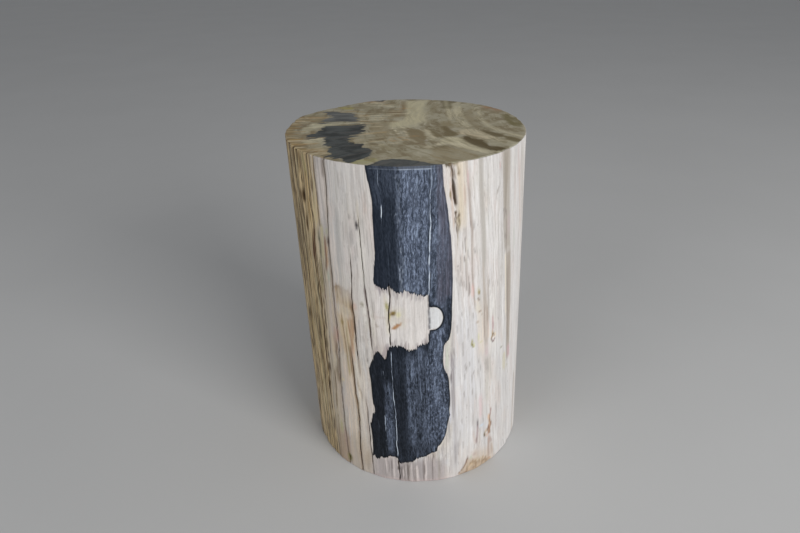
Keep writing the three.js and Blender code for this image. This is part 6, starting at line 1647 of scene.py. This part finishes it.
# thin lines run over the stains: dark in the weathered stone, faint in the pale
worn = k.ramp(k.add(rust, k.mul(k.add(midn, -0.5), 0.9)), 0.25, 0.75)
cream = k.mix(k.mul(k.mul(wisps, k.ramp(gate, 0.60, 0.46, 0.10, 0.85)), k.ramp(worn, 0.0, 1.0, 0.17, 0.86)), cream, k.mix(worn, lin((150, 138, 128)), lin((88, 65, 37))))
cream = k.mix(k.mul(k.mul(furrows, k.ramp(gate, 0.40, 0.54, 0.20, 0.95)), k.ramp(worn, 0.0, 1.0, 0.17, 0.86)), cream, k.mix(worn, lin((146, 134, 124)), lin((60, 42, 23))))
cream = k.mix(k.mul(k.mul(k.ramp(fine, 0.43, 0.34), worn), 0.48), cream, lin((208, 193, 160)))
cream = k.mix(k.mul(k.mul(cuts, k.ramp(tint_b, 0.44, 0.54, 0.25, 0.95)), k.mul(worn, 0.88)), cream, lin((60, 43, 24)))
crack_edge = k.mul(k.add(dark, k.mul(k.add(hair, -0.5), 0.35)), k.ramp(dark, 0.02, 0.12))
cream = k.mix(k.mul(k.ramp(crack_edge, 0.20, 0.85), 0.92), cream, lin((72, 56, 42)))

# the dark stone
speck = drawn((2, 40, 0), 1.4, 5.0, 3.0, 0.65)
thread = drawn((60, 4, 9), 1.9, 26, 2.0, 0.6)
streaks = drawn((9, 22, 5), 4.2, 60, 2.0, 0.5)
slate_and_sheen_in = k.attr("slate_and_sheen")
crackle = vein(drawn((44, 8, 2), 2.6, 8.0, 2.0, 0.5), 0.06)
across_grain = k.new("ShaderNodeSeparateXYZ")
k.feed(grain, across_grain.inputs[0])
aside = k.mul(k.ramp(across_grain.outputs[0], 27.0, 31.5), k.ramp(up, 250.0, 272.0))
glint = k.add(k.mul(k.ramp(speck, 0.42, 0.62), 0.74), k.add(k.mul(k.ramp(thread, 0.44, 0.60), 0.36), k.mul(k.ramp(streaks, 0.42, 0.60), 0.26)))
inner = k.ramp(band_in, 0.2, 3.0, 0.18, 1.0)
body = k.mul(k.mul(slate_and_sheen_in, k.add(0.14, k.mul(glint, 1.10))), inner, clamp=True)
# painted light: the black is drawn lighter towards the top; the slate value lightens it to blue-grey, which is the
# stone's flecks and, on the facet facing the light, painted reflection
band_color = k.mix(body, k.mix(k.ramp(up, 120.0, 320.0), lin((3, 8, 16)), lin((19, 27, 38))), lin((126, 138, 161)))
band_color = k.mix(k.mul(k.mul(crackle, k.ramp(slate_and_sheen_in, 0.3, 0.6)), 0.55), band_color, lin((40, 49, 65)))
band_color = k.mix(k.mul(k.mul(k.ramp(speck, 0.60, 0.69), k.ramp(slate_and_sheen_in, 0.2, 0.6)), 0.54), band_color, lin((155, 170, 194)))
band_color = k.mix(k.mul(k.mul(k.ramp(thread, 0.62, 0.70), k.ramp(slate_and_sheen_in, 0.1, 0.5)), 0.40), band_color, lin((158, 174, 197)))
band_color = k.mix(k.mul(k.mul(aside, k.ramp(slate_and_sheen_in, 0.2, 0.4)), k.ramp(streaks, 0.35, 0.65, 0.75, 0.4)), band_color, k.mix(k.ramp(thread, 0.40, 0.62), lin((74, 75, 87)), lin((100, 99, 113))))
band_color = k.mix(k.mul(k.ramp(k.noise(k.scale(grain, (1 / 30, 1 / 30, 1 / 70)), 2.0), 0.45, 0.7), 0.30), band_color, k.bright(band_color, 0.66))
band_color = k.mix(k.mul(k.mul(k.ramp(thin, 0.62, 0.74), 0.35), k.ramp(band_in, 1.0, 4.0)), band_color, lin((96, 106, 122)))
light = k.attr("light")
beads = drawn((0, 0, 0), 2.0, 5.0, 2.0, 0.6)
lit = k.ramp(k.mul(light, k.add(0.50, k.mul(beads, 1.0))), 0.28, 0.72)
band_color = k.mix(k.mul(lit, 0.9), band_color, k.mix(k.ramp(light, 0.6, 1.0), lin((176, 188, 206)), lin((222, 230, 238))))

reach_out = k.add(0.8, k.mul(comb, 6.4))
ragged = k.mul(k.add(k.mul(k.add(hair, -0.5), 0.9), k.add(k.mul(k.add(thin, -0.5), 1.2), k.mul(k.add(fine, -0.5), 0.5))), reach_out)
ragged = k.mul(ragged, k.ramp(lobe_in, -6.0, -1.0, 1.0, 0.12))
band_mask = k.ramp(k.add(band_in, ragged), -0.5, 0.5)
# the band's top edge: painted sheen on the eased edge, with a painted highlight line under it
rim = k.attr("rim")
band_color = k.mix(k.mul(k.mul(rim, k.ramp(up, 416.9, 417.5)), 0.85), band_color, lin((84, 90, 101)))
band_color = k.mix(k.mul(k.mul(rim, k.mul(k.ramp(up, 416.0, 416.6), k.ramp(up, 417.7, 417.1))), k.ramp(thread, 0.30, 0.55, 0.45, 0.9)), band_color, lin((150, 160, 174)))
side_color = k.mix(band_mask, cream, band_color)

# the sawn ends
ring = k.attr("ring", "Vector")
flat = k.attr("flat", "Vector")
across = k.new("ShaderNodeSeparateXYZ")
k.feed(flat, across.inputs[0])
warp = k.noise(k.scale(flat, (1 / 24, 1 / 24, 1.0)), 2.0, 0.5, 0.0, "Color")
swirl = k.shift(ring, k.scale(k.shift(warp, (-0.5, -0.5, -0.5)), (18.0, 18.0, 0.0)))
rings = k.noise(k.scale(swirl, (1 / 6.5, 1 / 60, 1.0)), 3.0, 0.55)
rings_fine = k.noise(k.scale(swirl, (1 / 2.4, 1 / 30, 1.0)), 2.0, 0.6)
rays = k.noise(k.scale(ring, (1 / 36, 1 / 4.6, 1.0)), 3.0, 0.6)
rays_wide = k.noise(k.scale(ring, (1 / 60, 1 / 10.0, 1.0)), 2.0, 0.5)
cloud = k.noise(k.scale(flat, (1 / 30, 1 / 30, 1.0)), 4.0, 0.55)
blotch = k.noise(k.scale(k.shift(swirl, (50.0, 9.0, 0.0)), (1 / 13, 1 / 30, 1.0)), 4.0, 0.6)
grit = k.noise(k.scale(flat, (1 / 1.6, 1 / 1.6, 1.0)), 3.0, 0.65)
right = k.ramp(across.outputs[0], -62.0, -8.0)
left = k.math("SUBTRACT", 1.0, right)
streak = k.add(k.mul(rings, right), k.mul(rays, left))
streak_fine = k.add(k.mul(rings_fine, right), k.mul(rays_wide, left))
olive = k.mix(k.ramp(cloud, 0.40, 0.62), END_LIGHT, END_MID)
olive = k.mix(k.mul(k.ramp(blotch, 0.50, 0.59), 0.74), olive, END_BROWN)
olive = k.mix(k.mul(k.ramp(blotch, 0.44, 0.36), 0.55), olive, END_PALE)
olive = k.mix(k.mul(k.ramp(streak, 0.53, 0.66), 0.55), olive, END_BROWN)
olive = k.mix(k.mul(k.ramp(streak_fine, 0.55, 0.68), 0.38), olive, END_PALE)
seat_threads = k.ramp(k.add(k.mul(streak, 0.6), k.mul(streak_fine, 0.4)), 0.38, 0.62)
swing = k.mul(k.mul(alpha, k.math("SUBTRACT", 1.0, alpha)), k.mul(k.add(seat_threads, -0.5), 2.6))
olive = k.mix(k.math("ADD", alpha, swing, clamp=True), olive, stain.outputs["Color"])
olive = k.bright(olive, k.add(0.655, k.add(k.mul(streak, 0.22), k.add(k.mul(streak_fine, 0.14), k.mul(grit, 0.20)))))
teeth = k.mul(k.add(k.mul(k.add(rays, -0.5), 34.0), k.mul(k.add(rays_wide, -0.5), 10.0)), k.math("SUBTRACT", 1.0, k.mul(right, 0.85)))
seat_dark = k.ramp(k.add(band_in, teeth), -0.8, 0.8)
char = k.mix(k.ramp(cloud, 0.42, 0.58), k.bright(END_BLACK, 0.62), k.bright(END_BLACK, 1.45))
char = k.mix(k.mul(k.ramp(rays_wide, 0.48, 0.60), 0.6), char, k.bright(END_BLACK, 1.9))
char = k.mix(k.mul(k.ramp(rays, 0.54, 0.62), 0.6), char, lin((92, 86, 80)))
char = k.mix(k.mul(k.ramp(rays, 0.46, 0.38), 0.6), char, k.bright(END_BLACK, 0.5))
char = k.bright(char, k.add(0.66, k.mul(grit, 0.66)))
char = k.mix(k.mul(k.attr("slate_and_sheen"), k.ramp(rays, 0.34, 0.60, 0.5, 1.25)), char, lin((130, 130, 126)))
olive = k.bright(olive, k.add(0.985, k.mul(left, -0.065)))
olive = k.mix(seat_dark, olive, char)
olive = k.mix(k.mul(dark, 0.8), olive, lin((84, 68, 48)))

ends_in = k.attr("endgrain")
edge = k.add(ends_in, k.mul(k.add(fine, -0.5), k.add(0.3, k.mul(rust, 1.2))))
color = k.mix(k.ramp(edge, 0.50, 0.78), side_color, olive)
k.feed(color, shader.inputs["Base Color"])

side_rough = k.add(k.mul(band_mask, -0.08), k.add(0.52, k.mul(k.add(fine, -0.5), 0.16)))
end_rough = k.add(0.50, k.mul(k.add(cloud, -0.5), 0.12))
ends_mask = k.ramp(ends_in, 0.5, 0.8)
rough = k.add(k.mul(ends_mask, end_rough), k.mul(k.math("SUBTRACT", 1.0, ends_mask), side_rough))
k.feed(k.mul(rough, 1.0, clamp=True), shader.inputs["Roughness"])
shader.inputs["IOR"].default_value = 1.5
shader.inputs["Specular IOR Level"].default_value = 0.16

height = k.add(k.add(k.mul(midn, 0.35), k.mul(fine, 0.40)), k.add(k.mul(thin, 0.25), k.mul(crumb, 0.16)))
height = k.mul(height, k.ramp(ends_in, 0.2, 0.9, 1.0, 0.0))
height = k.mul(height, k.add(k.mul(band_mask, -0.45), 1.0))
height = k.add(height, k.mul(k.mul(grit, 0.10), k.ramp(ends_in, 0.5, 0.9)))
bump = k.new("ShaderNodeBump")
bump.inputs["Strength"].default_value = 0.6
bump.inputs["Distance"].default_value = 0.0008
k.feed(height, bump.inputs["Height"])
k.tree.links.new(bump.outputs[0], shader.inputs["Normal"])

mesh.materials.append(stone)
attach(log, "root")
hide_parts(NODE)

# ---------------------------------------------------------------------------
# Floor, light and camera
# ---------------------------------------------------------------------------
floor_mesh = bpy.data.meshes.new("floor")
FAR = 40.0
floor_mesh.from_pydata([(-FAR, -FAR, LO.z), (FAR, -FAR, LO.z), (FAR, FAR, LO.z), (-FAR, FAR, LO.z)], [], [(0, 1, 2, 3)])
floor = bpy.data.objects.new("floor", floor_mesh)
bpy.context.scene.collection.objects.link(floor)
paper = bpy.data.materials.new("pale_floor")
paper.use_nodes = True
f = Tree(paper.node_tree)
pb = paper.node_tree.nodes["Principled BSDF"]
pb.inputs["Roughness"].default_value = 0.9
pb.inputs["Specular IOR Level"].default_value = 0.1
coords = f.new("ShaderNodeTexCoord").outputs["Object"]
mottle = f.noise(f.scale(coords, (3.0, 3.0, 3.0)), 3.0)
f.feed(f.mix(mottle, (0.60, 0.60, 0.59), (0.64, 0.64, 0.63)), pb.inputs["Base Color"])
floor_mesh.materials.append(paper)

world = bpy.data.worlds.new("studio")
bpy.context.scene.world = world
world.use_nodes = True
bg = world.node_tree.nodes["Background"]
bg.inputs[0].default_value = (0.86, 0.88, 0.92, 1.0)
bg.inputs[1].default_value = 0.30


def softbox(name, place_at, aim, size, power, color):
    data = bpy.data.lights.new(name, "AREA")
    data.shape = "RECTANGLE"
    data.size, data.size_y = size
    data.energy = power
    data.color = color
    ob = bpy.data.objects.new(name, data)
    ob.location = place_at
    ob.rotation_mode = "QUATERNION"
    ob.rotation_quaternion = (Vector(aim) - Vector(place_at)).to_track_quat("-Z", "Y")
    bpy.context.scene.collection.objects.link(ob)
    return ob


softbox("key", (2.0, -2.35, 1.30), (0, 0, 0.2), (1.8, 1.5), 77.0, (1.0, 0.995, 0.99))
softbox("fill", (-2.3, -2.4, 1.2), (0, 0, 0.2), (1.8, 1.6), 24.0, (0.98, 0.985, 1.0))

scene = bpy.context.scene
scene.view_settings.view_transform = "Standard"
scene.view_settings.look = "None"
scene.view_settings.exposure = 0.0
scene.view_settings.gamma = 1.0

# The camera stands about 0.7 m in front of the stool and looks down on it.
PITCH, ROLL, YAW = math.radians(28.362), math.radians(-1.096), math.radians(-0.725)
forward = Vector((math.sin(YAW) * math.cos(PITCH), math.cos(YAW) * math.cos(PITCH), -math.sin(PITCH)))
right_v = forward.cross(Vector((0, 0, 1))).normalized()
up_v = right_v.cross(forward)
r2v = right_v * math.cos(ROLL) + up_v * math.sin(ROLL)
u2v = -right_v * math.sin(ROLL) + up_v * math.cos(ROLL)
cam_data = bpy.data.cameras.new("camera")
cam_data.sensor_width = 36.0
cam_data.lens = 610.0 / 800.0 * 36.0
cam_data.clip_start, cam_data.clip_end = 0.02, 200.0
camera = bpy.data.objects.new("camera", cam_data)
eye = Vector(((seat_centre[0] - 0.25) * MM, -1.6612 * TALL * MM, (1.4604 * TALL + SHIFT_Z) * MM))
camera.matrix_world = Matrix((
    (r2v.x, u2v.x, -forward.x, eye.x),
    (r2v.y, u2v.y, -forward.y, eye.y),
    (r2v.z, u2v.z, -forward.z, eye.z),
    (0, 0, 0, 1),
))
scene.collection.objects.link(camera)
scene.camera = camera

bpy.context.view_layer.update()
print("COLS", COLS, "ROWS", ROWS, "TRIANGLES", 2 * n_q + n_t)
